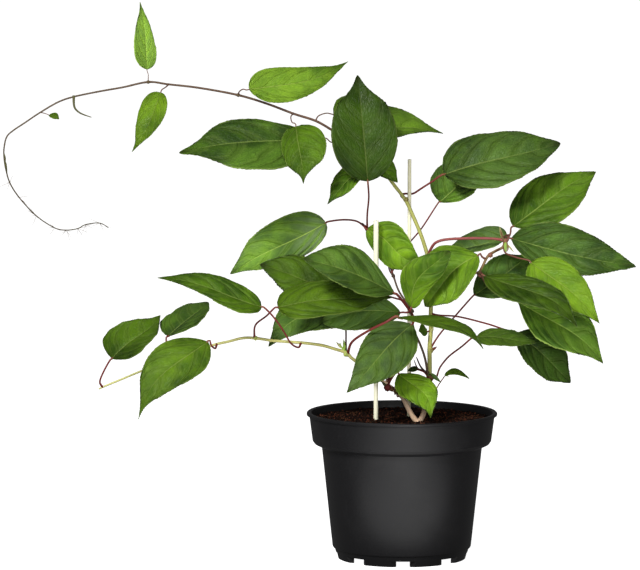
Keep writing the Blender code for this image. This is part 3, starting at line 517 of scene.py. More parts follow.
class Finish:
    """A material, and the nodes that feed its shader."""

    def __init__(self, name, **constants):
        self.material = bpy.data.materials.new(name)
        self.material.use_nodes = True
        self.tree = self.material.node_tree
        self.shader = self.tree.nodes["Principled BSDF"]
        for socket, value in constants.items():
            self.feed(socket.replace("_", " "), value)

    def put(self, socket, value):
        if isinstance(value, Value):
            self.tree.links.new(value.socket, socket)
        elif isinstance(value, tuple) and socket.type == "RGBA":
            socket.default_value = (*value, 1)
        else:
            socket.default_value = value

    def node(self, kind, settings, sockets, output=0):
        made = self.tree.nodes.new(kind)
        for name, value in settings.items():
            setattr(made, name, value)
        for name, value in sockets.items():
            self.put(made.inputs[name], value)
        return Value(self, made.outputs[output])

    def feed(self, socket, value):
        self.put(self.shader.inputs[socket], value)

    def own(self):
        """Object coordinates, in metres."""
        return self.node("ShaderNodeTexCoord", {}, {}, "Object")

    def stretched(self, place, scale):
        return self.node("ShaderNodeVectorMath", {"operation": "MULTIPLY"}, {0: place, 1: scale})

    def attribute(self, name, output):
        return self.node("ShaderNodeAttribute", {"attribute_name": name}, {}, output)

    def noise(self, place, scale, detail=3.0, roughness=0.55):
        sockets = {"Vector": place, "Scale": scale, "Detail": detail, "Roughness": roughness}
        return self.node("ShaderNodeTexNoise", {}, sockets)

    def cells(self, place, scale, feature="DISTANCE_TO_EDGE"):
        return self.node("ShaderNodeTexVoronoi", {"feature": feature}, {"Vector": place, "Scale": scale})

    def mix(self, share, first, second, blend="MIX"):
        settings = {"data_type": "RGBA", "blend_type": blend}
        return self.node("ShaderNodeMix", settings, {0: share, 6: first, 7: second}, 2)

    def parts(self, place):
        """The X and Y of a vector."""
        return [self.node("ShaderNodeSeparateXYZ", {}, {0: place}, axis) for axis in ("X", "Y")]

    def bump(self, height, distance, strength=1.0):
        sockets = {"Height": height, "Distance": distance, "Strength": strength}
        self.feed("Normal", self.node("ShaderNodeBump", {}, sockets))


def shade(colour, share):
    return tuple(channel * share for channel in colour)


def blend(first, second, share):
    return tuple(a + (b - a) * share for a, b in zip(first, second))


# What a blade's map gives: its side veins, its midrib, the fine net between them, the distance from the
# midrib, the sunk strips painted in shade and the raised strips painted lit, and the distance from the base.
Veins = namedtuple("Veins", "side rib net out valley ridge along")


def vein_map(finish):
    """The veins, from the blade's own map."""
    along, across = finish.parts(finish.node("ShaderNodeUVMap", {"uv_map": "blade"}, {}))
    half = across * 2 - 1
    out = abs(half)
    wander = finish.noise(finish.own(), WANDER, 2.0) * 0.5
    phase = along * VEINS + (half > 0) * 0.5 + wander - 0.25
    line = abs(phase.fraction() - 0.5) * 2
    side = line.ease(0.84, 0.99) * (1 - out.ease(0.7, 0.98)) * (1 - along.ease(0.86, 0.98))
    rib = (1 - out.ease(0.006, 0.036)) * (1 - along.ease(0.3, 1.0) * 0.6)
    ladder = finish.node("ShaderNodeCombineXYZ", {}, {"X": phase * 7, "Y": half * 9})
    net = 1 - finish.cells(ladder, 1.0).ease(0.0, 0.16)
    valley = line.ease(0.3, 1.0) * (1 - out.ease(0.85, 1.0))
    ridge = line.ease(0.4, 0.7) * (1 - line.ease(0.72, 0.95)) * (1 - out.ease(0.8, 1.0))
    return Veins(side, rib, net, out, valley, ridge, along)


def leaf_finish(leaf, look):
    """The upper face: deep to yellow-green by tone, greyed by a painted sheen, with painted shade and
    highlights.
    """
    finish = Finish(leaf.name + "_green", Specular_IOR_Level=0.15)
    # look.light is partly the leaf's own green and partly painted light: it lightens leaves that lie in shade
    # and darkens ones that face the lamps
    deep, light, pale = [shade(blend(*greens, leaf.tone), look.light) for greens in (DEEP, LIGHT, PALE)]
    veins = vein_map(finish)
    own = finish.own()
    mottle = finish.noise(own, MOTTLES, 5.0, 0.6)
    highlight_cloud = finish.noise(own, HIGHLIGHT_CLOUDS, 2.0)
    speck = finish.noise(own, SPECKS, 3.0)
    crease = finish.noise(own, CREASES, 5.0, 0.62)
    shade_blotch = finish.noise(own, SHADE_BLOTCHES, 3.0)
    uneven = min(1.0, look.quilt / 1.6)  # a leaf with little quilting has smoother skin, too
    green = finish.mix(mottle.ease(0.3, 0.7), deep, light)
    # painted shade of the crinkles: where the crease noise is high, the green darkens
    green = finish.mix(crease.ease(0.42, 0.7) * (0.3 * uneven), green, deep)
    # painted shade: random blotches darkened towards LEAF_SHADE
    green = finish.mix(shade_blotch.ease(0.44, 0.62) * 0.9, green, LEAF_SHADE, "MULTIPLY")
    # painted highlight: patches lightened towards half again the light green
    green = finish.mix(highlight_cloud.ease(0.45, 0.64) * 0.5, green, shade(light, 1.5))
    # painted shade in the sunk strips beside the veins, and a painted highlight on the raised strips
    green = finish.mix(veins.valley * (0.42 * uneven), green, deep)
    green = finish.mix(veins.ridge * 0.16, green, pale)
    # painted sheen: a grey-green laid on the leaves that catch the lamps' gloss, patchy, and weaker in the
    # valleys
    if look.bloom:
        share = (0.35 + highlight_cloud.ease(0.36, 0.62) * 0.65) * (1 - veins.valley * 0.6) * look.bloom
        green = finish.mix(share, green, blend(*SHEEN_GREENS, leaf.tone))
    green = finish.mix(veins.net * 0.2, green, deep)
    green = finish.mix(veins.side * 0.12, green, pale)
    green = finish.mix(veins.rib * 0.9, green, pale)
    green = finish.mix(veins.out.ease(0.94, 1.0) * 0.6, green, pale)
    green = finish.mix(speck.ease(0.55, 0.75) * 0.2, green, shade(deep, 0.5))
    green = finish.mix(veins.along.ease(0.93, 1.0) * 0.6, green, LEAF_TIP)
    finish.feed("Base Color", green)
    finish.feed("Roughness", 0.36 + mottle * 0.2 - veins.side * 0.06)
    skin = speck * 0.15 + crease * (1.1 * uneven) + mottle * 0.8
    finish.bump(skin - veins.net * 0.35 - veins.side * 0.5 - veins.rib * 0.6, 0.7 * MM, 0.9)
    return finish.material


def under_finish(name, tone):
    """The underside: paler and duller, with the veins standing out."""
    finish = Finish(name, Specular_IOR_Level=0.2)
    deep, light, pale = [blend(*greens, tone) for greens in (UNDER_DEEP, UNDER_LIGHT, UNDER_PALE)]
    veins = vein_map(finish)
    mottle = finish.noise(finish.own(), 60.0, 4.0)
    green = finish.mix(mottle.ease(0.32, 0.7), deep, light)
    green = finish.mix(veins.net * 0.3, green, pale)
    green = finish.mix(veins.side * 0.55, green, pale)
    green = finish.mix(veins.rib * 0.9, green, pale)
    finish.feed("Base Color", green)
    finish.feed("Roughness", 0.62 + mottle * 0.15)
    finish.bump(mottle * 0.15 + veins.net * 0.25 + veins.side * 0.8 + veins.rib * 0.9, 0.5 * MM, 0.8)
    return finish.material


def stem_finish(name, gloss, rough_bark):
    """Follows the colours laid along the stems, with streaks, scars and pores."""
    finish = Finish(name, Specular_IOR_Level=0.25)
    tone = finish.attribute("tone", "Color")
    grain = finish.attribute("grain", "Vector")
    own = finish.own()
    streak = finish.noise(grain, 2.2, 5.0, 0.65)
    patch = finish.noise(own, 130.0, 4.0)
    pore = finish.cells(own, 420.0, "F1")
    colour = finish.mix(streak.ease(0.42, 0.7) * (0.35 + 0.2 * rough_bark), tone, STREAK, "MULTIPLY")
    colour = finish.mix(patch.ease(0.45, 0.75) * 0.45, colour, WORN, "MULTIPLY")
    colour = finish.mix((1 - pore.ease(0.1, 0.22)) * 0.35, colour, PORE, "MULTIPLY")
    finish.feed("Base Color", colour)
    finish.feed("Roughness", gloss + streak * 0.25)
    height = streak * (0.5 + 0.5 * rough_bark) + patch * 0.3 - pore.ease(0.05, 0.3) * 0.2
    finish.bump(height, (0.25 + 0.4 * rough_bark) * MM, 0.8)
    return finish.material


def pot_finish():
    """Black plastic with the flow lines of its mould, a few scratches and some dust."""
    finish = Finish("satin_black_plastic", Specular_IOR_Level=0.4)
    own = finish.own()
    handled = finish.noise(own, 22.0, 5.0, 0.6)
    grain = finish.noise(own, 1500.0, 3.0)
    flow = finish.noise(finish.stretched(own, (1.0, 1.0, 9.0)), 60.0, 4.0)
    scratch = finish.noise(finish.stretched(own, (1.0, 1.0, 0.06)), 700.0, 2.0).ease(0.66, 0.74)
    dust = handled.ease(0.5, 0.8) * 0.6 + scratch * 0.5
    finish.feed("Base Color", finish.mix(dust, BLACK_PLASTIC, DUSTY_PLASTIC))
    finish.feed("Roughness", 0.34 + handled * 0.12 + grain * 0.08 + scratch * 0.1)
    finish.bump(grain * 0.12 + flow * 0.5 + handled * 0.6 - scratch * 0.15, 0.25 * MM, 0.5)
    return finish.material


def peat_finish():
    """Dark damp peat with reddish flecks."""
    finish = Finish("damp_peat", Specular_IOR_Level=0.06)
    own = finish.own()
    tone = finish.attribute("tone", "Color")
    crumb = finish.noise(own, 380.0, 6.0, 0.7)
    fleck = finish.noise(own, 1300.0, 3.0)
    # painted shade: where the crumb noise is low, as the bump is, the peat turns near black
    colour = finish.mix(crumb.ease(0.35, 0.65), PEAT_BLACK, tone)
    colour = finish.mix(fleck.ease(0.6, 0.76) * 0.5, colour, PEAT_FLECK)
    finish.feed("Base Color", colour)
    finish.feed("Roughness", 0.8 + crumb * 0.18)
    finish.bump(crumb + fleck * 0.35, 0.9 * MM, 0.9)
    return finish.material


def cane_finish(name, pale, dark):
    """Split cane: long fibres, a few darker ones, and long darker patches."""
    finish = Finish(name, Specular_IOR_Level=0.4)
    own = finish.own()
    fibre = finish.noise(finish.stretched(own, (1.0, 1.0, 0.025)), 2600.0, 4.0, 0.6)
    patch = finish.noise(finish.stretched(own, (1.0, 1.0, 0.2)), 160.0, 4.0)
    colour = finish.mix(fibre.ease(0.35, 0.75) * 0.7, pale, dark)
    colour = finish.mix(patch.ease(0.6, 0.85) * 0.3, colour, shade(dark, 0.85))
    finish.feed("Base Color", colour)
    finish.feed("Roughness", 0.45 + fibre * 0.25)
    finish.bump(fibre + patch * 0.3, 0.2 * MM, 0.8)
    return finish.material


# pieces

def piece(name, shape, finishes, slot, *nodes):
    """Turns the shape into an object that rides with the vine, and stands for these nodes."""
    mesh = bpy.data.meshes.new(name)
    shape.to_mesh(mesh)
    shape.free()
    for finish in finishes:
        mesh.materials.append(finish)
    mesh.shade_smooth()
    thing = bpy.data.objects.new(name, mesh)
    bpy.context.scene.collection.objects.link(thing)
    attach(thing, "root")
    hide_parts(*nodes)
    return thing


def plain(name, shape):
    """An object with this shape, for a cut."""
    mesh = bpy.data.meshes.new(name)
    shape.to_mesh(mesh)
    shape.free()
    thing = bpy.data.objects.new(name, mesh)
    bpy.context.scene.collection.objects.link(thing)
    return thing


def cut(shape, cutters):
    """The shape less the cutters, as a new shape."""
    body = plain("body", shape)
    group = bpy.data.collections.new("cutters")
    bpy.context.scene.collection.children.link(group)
    for cutter in cutters:
        group.objects.link(cutter)
    step = body.modifiers.new("cut", "BOOLEAN")
    step.operand_type = "COLLECTION"
    step.collection = group
    step.solver = "EXACT"
    graph = bpy.context.evaluated_depsgraph_get()
    graph.update()
    result = bmesh.new()
    result.from_mesh(body.evaluated_get(graph).data)
    for thing in cutters + [body]:
        bpy.data.objects.remove(thing, do_unlink=True)
    bpy.data.collections.remove(group)
    return result


def turned(profile, steps):
    """A solid of revolution from (radius, height) points that run from the axis, round, to the axis."""
    shape = bmesh.new()
    points = [shape.verts.new((radius, 0, height)) for radius, height in profile]
    edges = [shape.edges.new(pair) for pair in zip(points, points[1:])]
    bmesh.ops.spin(
        shape, geom=points + edges, cent=(0, 0, 0), axis=(0, 0, 1),
        angle=math.tau, steps=steps, use_merge=True,
    )
    bmesh.ops.remove_doubles(shape, verts=shape.verts, dist=0.01 * MM)
    bmesh.ops.recalc_face_normals(shape, faces=shape.faces)
    return shape


def inner_wall(height):
    """The collar's inner radius at this height."""
    share = (height - COLLAR_LOW) / (POT_HEIGHT - COLLAR_LOW)
    return COLLAR_RADIUS + share * (RIM_RADIUS - LIP - COLLAR_RADIUS) - WALL


def pot_profile():
    """The pot's section: under the floor, up outside, over the lip and down inside."""
    floor_top = FLOOR_UNDER + WALL
    return [
        (0, 0),
        (HUB_RADIUS, 0),
        (HUB_RADIUS + WALL, FLOOR_UNDER),
        (FOOT_RADIUS - FOOT_WALL, FLOOR_UNDER),
        (FOOT_RADIUS - FOOT_WALL, 0),
        (FOOT_RADIUS, 0),
        (FOOT_TOP, BODY_LOW - 1.0 * MM),
        (BODY_RADIUS - 0.4 * MM, BODY_LOW - 0.4 * MM),
        (BODY_RADIUS, BODY_LOW + 0.6 * MM),
        (SHOULDER_RADIUS, SHOULDER_Z),
        (COLLAR_RADIUS - 1.5 * MM, COLLAR_LOW - 2.2 * MM),
        (COLLAR_RADIUS, COLLAR_LOW),
        (RIM_RADIUS - LIP, POT_HEIGHT - 3.0 * MM),
        (RIM_RADIUS, POT_HEIGHT - 2.2 * MM),
        (RIM_RADIUS, POT_HEIGHT - 0.8 * MM),
        (RIM_RADIUS - 0.7 * MM, POT_HEIGHT),
        (inner_wall(POT_HEIGHT), POT_HEIGHT - 0.4 * MM),
        (inner_wall(COLLAR_LOW), COLLAR_LOW),
        (SHOULDER_RADIUS - WALL, SHOULDER_Z + 1.2 * MM),
        (BODY_RADIUS - WALL, BODY_LOW + 1.8 * MM),
        (FOOT_RADIUS - FOOT_WALL, floor_top),
        (0, floor_top),
    ]


def foot_cutters(number):
    """One of the notches of the foot ring, and the drain hole behind it."""
    spin = Matrix.Rotation(math.radians(-90 + 360 / NOTCHES * number), 4, "Z")
    notch = bmesh.new()
    bmesh.ops.create_cube(notch, size=2)
    for point in notch.verts:
        outside = point.co.x > 0
        wide = NOTCH_WIDE / 2 * (NOTCH_FLARE if outside else 1)
        point.co = (NOTCH_OUT if outside else NOTCH_IN, wide * point.co.y, NOTCH_TALL * point.co.z)
    bmesh.ops.transform(notch, matrix=spin, verts=notch.verts)
    drain = bmesh.new()
    bmesh.ops.create_cone(
        drain, cap_ends=True, segments=32, radius1=DRAIN_RADIUS, radius2=DRAIN_RADIUS, depth=6 * MM,
        matrix=spin @ Matrix.Translation((DRAIN_AT, 0, FLOOR_UNDER + 1 * MM)),
    )
    return [plain("notch", notch), plain("drain", drain)]


def make_pot():
    """The moulded pot: turned, cut for its notches and drain holes, and rounded at its edges."""
    cutters = [cutter for number in range(NOTCHES) for cutter in foot_cutters(number)]
    shape = cut(turned(pot_profile(), POT_STEPS), cutters)
    pot = piece("pot_shell", shape, [pot_finish()], "pot_plastic", "pot")
    rounding = pot.modifiers.new("rounded edges", "BEVEL")
    rounding.width = EDGE
    rounding.segments = 2
    rounding.limit_method = "ANGLE"
    rounding.angle_limit = math.radians(EDGE_ANGLE)
    rounding.harden_normals = True


def coloured_shape():
    """An empty shape whose points carry a colour, and their place along and round a stem."""
    shape = bmesh.new()
    shape.verts.layers.float_color.new("tone")
    shape.verts.layers.float_vector.new("grain")
    return shape


def lay(shape, points, colour):
    """Lays a colour on these points."""
    tone = shape.verts.layers.float_color["tone"]
    for point in points:
        point[tone] = (*colour, 1)


def batches(shape, makers):
    """Adds what each maker makes, a batch at a time, because many small steps on a large shape are slow."""
    for first in range(0, len(makers), BATCH):
        heap = coloured_shape()
        for make in makers[first:first + BATCH]:
            make(heap)
        bmesh.ops.recalc_face_normals(heap, faces=heap.faces)
        mesh = bpy.data.meshes.new("batch")
        heap.to_mesh(mesh)
        heap.free()
        shape.from_mesh(mesh)
        bpy.data.meshes.remove(mesh)


def lumpy(x, y):
    """Height of the peat's surface over its level."""
    calm = min(1.0, math.hypot(x - NECK[0], y - NECK[1]) / CALM)
    rim = math.hypot(x, y) / inner_wall(SOIL_Z)
    coarse = noise.noise(Vector((x, y, 0)) / (17 * MM))
    fine = noise.noise(Vector((x, y, 0.02)) / (7 * MM))
    return LUMP * calm * (0.8 * coarse + 0.5 * fine) * (1 - 0.6 * rim ** 4)


def make_peat():
    """The peat: a lumpy bed that fills the pot, with crumbs and fibres lying on it."""
    floor_top = FLOOR_UNDER + WALL
    edge = inner_wall(SOIL_Z) - PEAT_GAP
    level = [(edge * (1 - number / PEAT_RINGS), SOIL_Z) for number in range(PEAT_RINGS + 1)]
    shape = turned(
        [
            (0, floor_top + PEAT_GAP),
            (FOOT_RADIUS - FOOT_WALL - 0.2 * MM, floor_top + PEAT_GAP),
            (BODY_RADIUS - WALL - PEAT_GAP, BODY_LOW + 2.2 * MM),
            (SHOULDER_RADIUS - WALL - PEAT_GAP, SHOULDER_Z + 1.4 * MM),
            (inner_wall(COLLAR_LOW) - PEAT_GAP, COLLAR_LOW + 0.3 * MM),
        ] + level,
        POT_STEPS,
    )
    tone = shape.verts.layers.float_color.new("tone")
    for point in shape.verts:
        x, y, z = point.co
        if z > SOIL_Z - 0.1 * MM:
            rough = noise.noise(Vector((x, y, 0.05)) / (2.6 * MM))
            rough += 0.6 * noise.noise(Vector((x, y, 0.09)) / (1.3 * MM))
            point.co.z += lumpy(x, y) + ROUGH * rough
        point[tone] = (*WET_PEAT, 1)
    bmesh.ops.recalc_face_normals(shape, faces=shape.faces)
    dice = random.Random(4)

    def crumb(heap):
        angle, far = dice.uniform(0, math.tau), (edge - 1.5 * MM) * math.sqrt(dice.random())
        x, y = far * math.cos(angle), far * math.sin(angle)
        size = dice.uniform(0.45, 1.0) ** 2 * CRUMB_SIZE
        roll = dice.uniform(0, math.tau)
        turn = Matrix.Rotation(roll, 4, Vector((dice.random(), dice.random(), 0.3)).normalized())
        form = Matrix.Diagonal((size, size * dice.uniform(0.5, 0.9), size * dice.uniform(0.35, 0.8), 1))
        middle = Matrix.Translation((x, y, SOIL_Z + lumpy(x, y) + 0.25 * size))
        made = bmesh.ops.create_icosphere(heap, subdivisions=1, radius=1, matrix=middle @ turn @ form)
        lay(heap, made["verts"], dice.choice(PEAT_CRUMBS))

    def fibre(heap):
        angle, far = dice.uniform(0, math.tau), (edge - 5 * MM) * math.sqrt(dice.random())
        place = Vector((far * math.cos(angle), far * math.sin(angle), 0)) / MM
        heading, length = dice.uniform(0, math.tau), dice.uniform(4, 13)
        bend = dice.uniform(-0.9, 0.9)
        way = []
        for _ in range(5):
            place = place + Vector((math.cos(heading), math.sin(heading), 0)) * length / 4
            heading += bend
            height = SOIL_Z + lumpy(place.x * MM, place.y * MM)
            way.append(Vector((place.x, place.y, height / MM + 0.5 + dice.uniform(-0.4, 0.5))))
        if max(math.hypot(point.x, point.y) for point in way) * MM < edge - 1 * MM:
            colour = dice.choice(PEAT_FIBRES)
            tube(heap, way, [dice.uniform(0.12, 0.26)] * 5, [colour] * 5, 3)

    batches(shape, [crumb] * CRUMBS + [fibre] * FIBRES)
    piece("peat_bed", shape, [peat_finish()], "peat", "soil")


def make_stick(name, finish):
    """A stick with blunt ends, faint leaf rings and an uneven skin."""
    (x, y), low, high, top = STICKS[name]
    height = top * MM - STICK_FOOT
    profile = [(0, 0), (low * 0.8, 0), (low, 0.5)]
    for number in range(1, STICK_RINGS):
        share = number / STICK_RINGS
        ring = 0.09 * math.exp(-((share * 3.3 + 0.35) % 1.0 - 0.5) ** 2 / 0.0006)
        profile.append((low + (high - low) * share + ring, share * height / MM))
    profile += [(high, height / MM - 0.4), (high * 0.82, height / MM), (0, height / MM)]
    shape = turned([(radius * MM, level * MM) for radius, level in profile], 24)
    for point in shape.verts:
        bark = noise.noise(Vector((point.co.x / MM, point.co.y / MM, point.co.z / (14 * MM)))) * 0.09
        point.co.x *= 1 + bark
        point.co.y *= 1 + bark
    bmesh.ops.translate(shape, verts=shape.verts, vec=(x * MM, y * MM, STICK_FOOT))
    piece(name + "_cane", shape, [finish], "stick_wood", name)


# stems

def smooth(points, spacing):
    """Points about a spacing apart along a smooth curve through the given points, with both its ends."""
    ends = [2 * points[0] - points[1]] + points + [2 * points[-1] - points[-2]]
    out = [points[0]]
    for a, b, c, d in zip(ends, ends[1:], ends[2:], ends[3:]):
        for step in range(1, FINE + 1):
            t = step / FINE
            bend = (2 * a - 5 * b + 4 * c - d) * t * t + (3 * b - a - 3 * c + d) * t ** 3
            place = (2 * b + (c - a) * t + bend) / 2
            if (place - out[-1]).length >= spacing:
                out.append(place)
    if (points[-1] - out[-1]).length < spacing / 2 and len(out) > 1:
        out.pop()
    return out + [points[-1]]


def tube(shape, path, radii, colours, sides, flat=1.0):
    """A round closed tube along the path, in millimetres: a ring at each point, in that point's colour."""
    tone, grain = shape.verts.layers.float_color["tone"], shape.verts.layers.float_vector["grain"]
    heading = (path[1] - path[0]).normalized()
    turn = Vector((0, 0, 1)).rotation_difference(heading)
    ring, old, run = [], None, 0.0
    for number, (place, radius, colour) in enumerate(zip(path, radii, colours)):
        ahead = path[min(number + 1, len(path) - 1)] - path[max(number - 1, 0)]
        if ahead.length > 0:
            turn = heading.rotation_difference(ahead.normalized()) @ turn
            heading = ahead.normalized()
        frame_here = (
            Matrix.Translation(place * MM) @ turn.to_matrix().to_4x4()
            @ Matrix.Diagonal((radius * MM, radius * MM * flat, radius * MM, 1))
        )
        if not ring:
            made = bmesh.ops.create_circle(shape, cap_ends=True, segments=sides, radius=1, matrix=frame_here)
            points = made["verts"]
            ring = list({edge for point in points for edge in point.link_edges})
        else:
            run += (place - path[number - 1]).length
            made = bmesh.ops.extrude_edge_only(shape, edges=ring)["geom"]
            points = [item for item in made if isinstance(item, bmesh.types.BMVert)]
            ring = [item for item in made if isinstance(item, bmesh.types.BMEdge)]
            bmesh.ops.transform(shape, matrix=frame_here @ old.inverted(), verts=points)
        old = frame_here
        back = frame_here.inverted()
        for point in points:
            local = back @ point.co
            point[tone] = (*colour, 1)
            point[grain] = Vector((local.x * radius, local.y * radius, run * 0.12))
    bmesh.ops.contextual_create(shape, geom=ring)


def knob(shape, place, radius, colour, seed, rough=0.22):
    """A lumpy swelling at a joint of the stem."""
    tone, grain = shape.verts.layers.float_color["tone"], shape.verts.layers.float_vector["grain"]
    made = bmesh.ops.create_icosphere(shape, subdivisions=3, radius=1)["verts"]
    for point in made:
        lump = 1 + rough * noise.noise(point.co * 2.1 + Vector((seed, 0, 0)))
        point[grain] = point.co * radius
        shade_here = 1 + 0.45 * noise.noise(point.co * 2.6 + Vector((0, seed, 0)))
        point[tone] = (*shade(colour, shade_here), 1)
        point.co = (Vector(place) + point.co * radius * lump) * MM


def bud(shape, base, tip, radius, colour, flat=1.0):
    """A pointed bud or a folded young leaflet."""
    base, tip = Vector(base), Vector(tip)
    form = [(0.0, 0.45), (0.12, 0.8), (0.3, 1.0), (0.5, 0.9), (0.7, 0.62), (0.88, 0.28), (1.0, 0.05)]
    path = [base + (tip - base) * share for share, _ in form]
    colours = [blend(colour, shade(colour, 0.6), share) for share, _ in form]
    tube(shape, path, [radius * wide for _, wide in form], colours, 8, flat)


def bristle(shape, place, away, length, colour):
    """One short stiff hair."""
    turn = Vector((0, 0, 1)).rotation_difference(away).to_matrix().to_4x4()
    middle = Matrix.Translation((place + away * length / 2) * MM) @ turn
    made = bmesh.ops.create_cone(
        shape, cap_ends=True, segments=3, radius1=HAIR_FOOT * MM, radius2=HAIR_TIP * MM, depth=length * MM,
        matrix=middle,
    )
    lay(shape, made["verts"], colour)


def bristles(shape, path, radii, count, colour, dice):
    """Short stiff hairs along a stem, up to a millimetre long."""
    def one(heap):
        number = dice.randrange(len(path) - 1)
        a, b = path[number], path[number + 1]
        place = a + (b - a) * dice.random()
        ahead = (b - a).normalized()
        side = ahead.orthogonal().normalized()
        side.rotate(Matrix.Rotation(dice.uniform(0, math.tau), 3, ahead))
        away = (side + ahead * dice.uniform(-0.1, 0.7)).normalized()
        bristle(heap, place + side * radii[number] * 0.9, away, dice.uniform(0.35, 1.0), colour)

    batches(shape, [one] * count)


def nearest(paths, point):
    """The place on the shoot's centre lines that is nearest to the point."""
    found = []
    for path in paths:
        for a, b in zip(path, path[1:]):
            run = b - a
            share = max(0.0, min(1.0, (point - a).dot(run) / run.length_squared))
            found.append(a + run * share)
    return min(found, key=lambda place: (place - point).length)


def stalk(shape, leaf, paths, tones):
    """A leaf's stalk, from a flared foot on the stem to its place under the blade's midrib."""
    along, normal, _ = blade_axes(leaf)
    base = Vector(leaf.base)
    root = nearest(paths, Vector(leaf.stalk[0]))
    thick = leaf.radius * SLIM_STALKS.get(leaf.shoot, SLIM)
    way = [Vector(point) for point in leaf.stalk[1:]]
    if leaf.width > SMALL:
        way.append(base - along * STRAIGHT)
    path = smooth([root] + way + [base - normal * 0.35 + along * 0.4], RING_STALK)
    path.append(base - normal * 0.5 + along * 4)
    last = len(path) - 1
    radii, colours = [], []
    for number in range(last + 1):
        foot = math.exp(-number / 1.6)
        neck = math.exp(-(last - number) / 1.5)
        radii.append(thick * (1 + FLARE_FOOT * foot + FLARE_BLADE * neck))
        share = number / last
        green = max(0.0, (share - 0.82) / 0.18)
        colours.append(blend(blend(tones.stalk, shade(tones.stalk, 1.2), share), PALE_GREEN, green * 0.12))
    radii[-1] = 0.25 * thick
    tube(shape, path, radii, colours, 10)


def make_shoot(shoot, finish):
    """A shoot with its side branches, knots, leaf stalks, bristles and buds."""
    shape = coloured_shape()
    tones = TONES[shoot.name]
    dice = random.Random(shoot.name)
    paths = []
    arms = 3 if shoot.name == "woody_base" else 1
    slim = SLIM_SHOOTS.get(shoot.name, 1)
    for number, branch in enumerate(shoot.branches):
        path = smooth([Vector(point) for point in branch.route], RING)
        paths.append(path)
        last = len(path) - 1
        colours, radii = [], []
        for step in range(last + 1):
            share = step / last
            radius = (branch.thick + (branch.thin - branch.thick) * share) * (slim if number == 0 else 1)
            for x, y, z, size in shoot.knots:
                far = (path[step] - Vector((x, y, z))).length
                radius += max(0.0, KNOT_HIGH * size - radius) * math.exp(-(far / (KNOT_WIDE * size)) ** 2)
            radii.append(radius * (1 + 0.05 * noise.noise(path[step] / 4.0)))
            main = blend(tones.foot, tones.end, share)
            colours.append(main if number < arms else tones.twig)
        radii[-1] *= 0.6
        tube(shape, path, radii, colours, 14 if number == 0 else 10)
        if number == 0:
            bristles(shape, path, radii, tones.bristles, shade(tones.stalk, 1.2), dice)
    for number, (x, y, z, size) in enumerate(shoot.knots):
        knob(shape, (x, y, z), size, blend(tones.foot, tones.twig, 0.5), number + 1.5)
    for leaf in LEAVES:
        if leaf.shoot == shoot.name:
            stalk(shape, leaf, paths, tones)
    if shoot.name in EXTRAS:
        EXTRAS[shoot.name](shape)
    bmesh.ops.recalc_face_normals(shape, faces=shape.faces)
    piece(shoot.name + "_stem", shape, [finish], STEM_SLOTS[shoot.name], shoot.name)


def base_extras(shape):
    """The knobs and buds where the left arm parts, and the leafy bracts at the right arm's knot."""
    knob(shape, (-5, -21, 137), 2.6, LIGHT_BROWN, 3.3, 0.5)
    bud(shape, (-5, -22, 138), (-6, -23, 143), 1.2, WHITE_WOOD)
    knob(shape, (-9, -21, 139), 2.3, BROWN, 4.4, 0.4)
    knob(shape, (-12, -22, 140), 3.0, WINE, 5.1)
    bud(shape, (-12, -20, 142), (-9, -18, 149), 1.5, WINE)
    bud(shape, (-13, -22, 141), (-17, -23, 145), 1.2, DARK_OLIVE)
    knob(shape, (22, -11, 147), 2.8, BROWN, 6.7, 0.4)
    bud(shape, (21, -13, 148), (19, -14, 155), 1.6, LEAFY, 0.5)
    bud(shape, (23, -13, 150), (31, -14, 143), 1.8, LEAFY, 0.5)


def cane_extras(shape):
    """Two buds."""
    bud(shape, (23, -2, 182), (25, -4, 187), 1.3, PALE_GREEN)
    bud(shape, (24, -3, 168), (28, -5, 171), 1.2, WINE)


def runner_extras(shape):
    """The bud at the bend, the hanging twig, and the fine root-like hairs near the end."""
    bud(shape, (-313.6, -47, 323), (-311.6, -46, 312), 1.0, DARK_OLIVE)
    twig = smooth([Vector(point) for point in TWIG], 1.0)
    last = len(twig) - 1
    radii = [TWIG_THICK - TWIG_TAPER * step / last for step in range(last + 1)]
    tube(shape, twig, radii, [DARK_OLIVE] * (last + 1), 8)
    dice = random.Random(11)
    runner = next(shoot for shoot in SHOOTS if shoot.name == "runner")
    for place in [Vector(point) for point in runner.branches[0].route[21:29]]:
        for _ in range(5):
            heading = Vector((dice.uniform(-0.6, 1.0), dice.uniform(-0.5, 0.5), dice.uniform(-1.0, 0.4)))
            heading.normalize()
            far = dice.uniform(4, 11)
            bend = Vector((dice.uniform(-1, 1), 0, dice.uniform(-1, 1)))
            way = [place + heading * far * s / 3 + bend * (s / 3) ** 2 for s in range(4)]
            tube(shape, way, [0.17, 0.14, 0.11, 0.05], [GREY_BROWN] * 4, 3)


def left_extras(shape):
    """Two flat buds at the first knot."""
    bud(shape, (-46, -22, 171), (-47, -23, 179), 1.2, FRESH, 0.6)
    bud(shape, (-49, -23, 172), (-53, -24, 177), 1.0, PALE_GREEN, 0.6)


def right_extras(shape):
    """The flat buds round the outer knot."""
    bud(shape, (80, -9, 258), (77, -12, 268), 1.3, PALE_GREEN, 0.5)
    bud(shape, (82, -10, 255), (82, -14, 246), 1.4, FRESH, 0.5)
    bud(shape, (84, -9, 253), (89, -12, 247), 1.0, PALE_GREEN, 0.5)
    bud(shape, (78, -9, 250), (72, -12, 247), 1.0, BROWN, 0.6)


EXTRAS = {
    "woody_base": base_extras,
    "main_cane": cane_extras,
    "runner": runner_extras,
    "left_shoot": left_extras,
    "right_shoot": right_extras,
}


# leaves

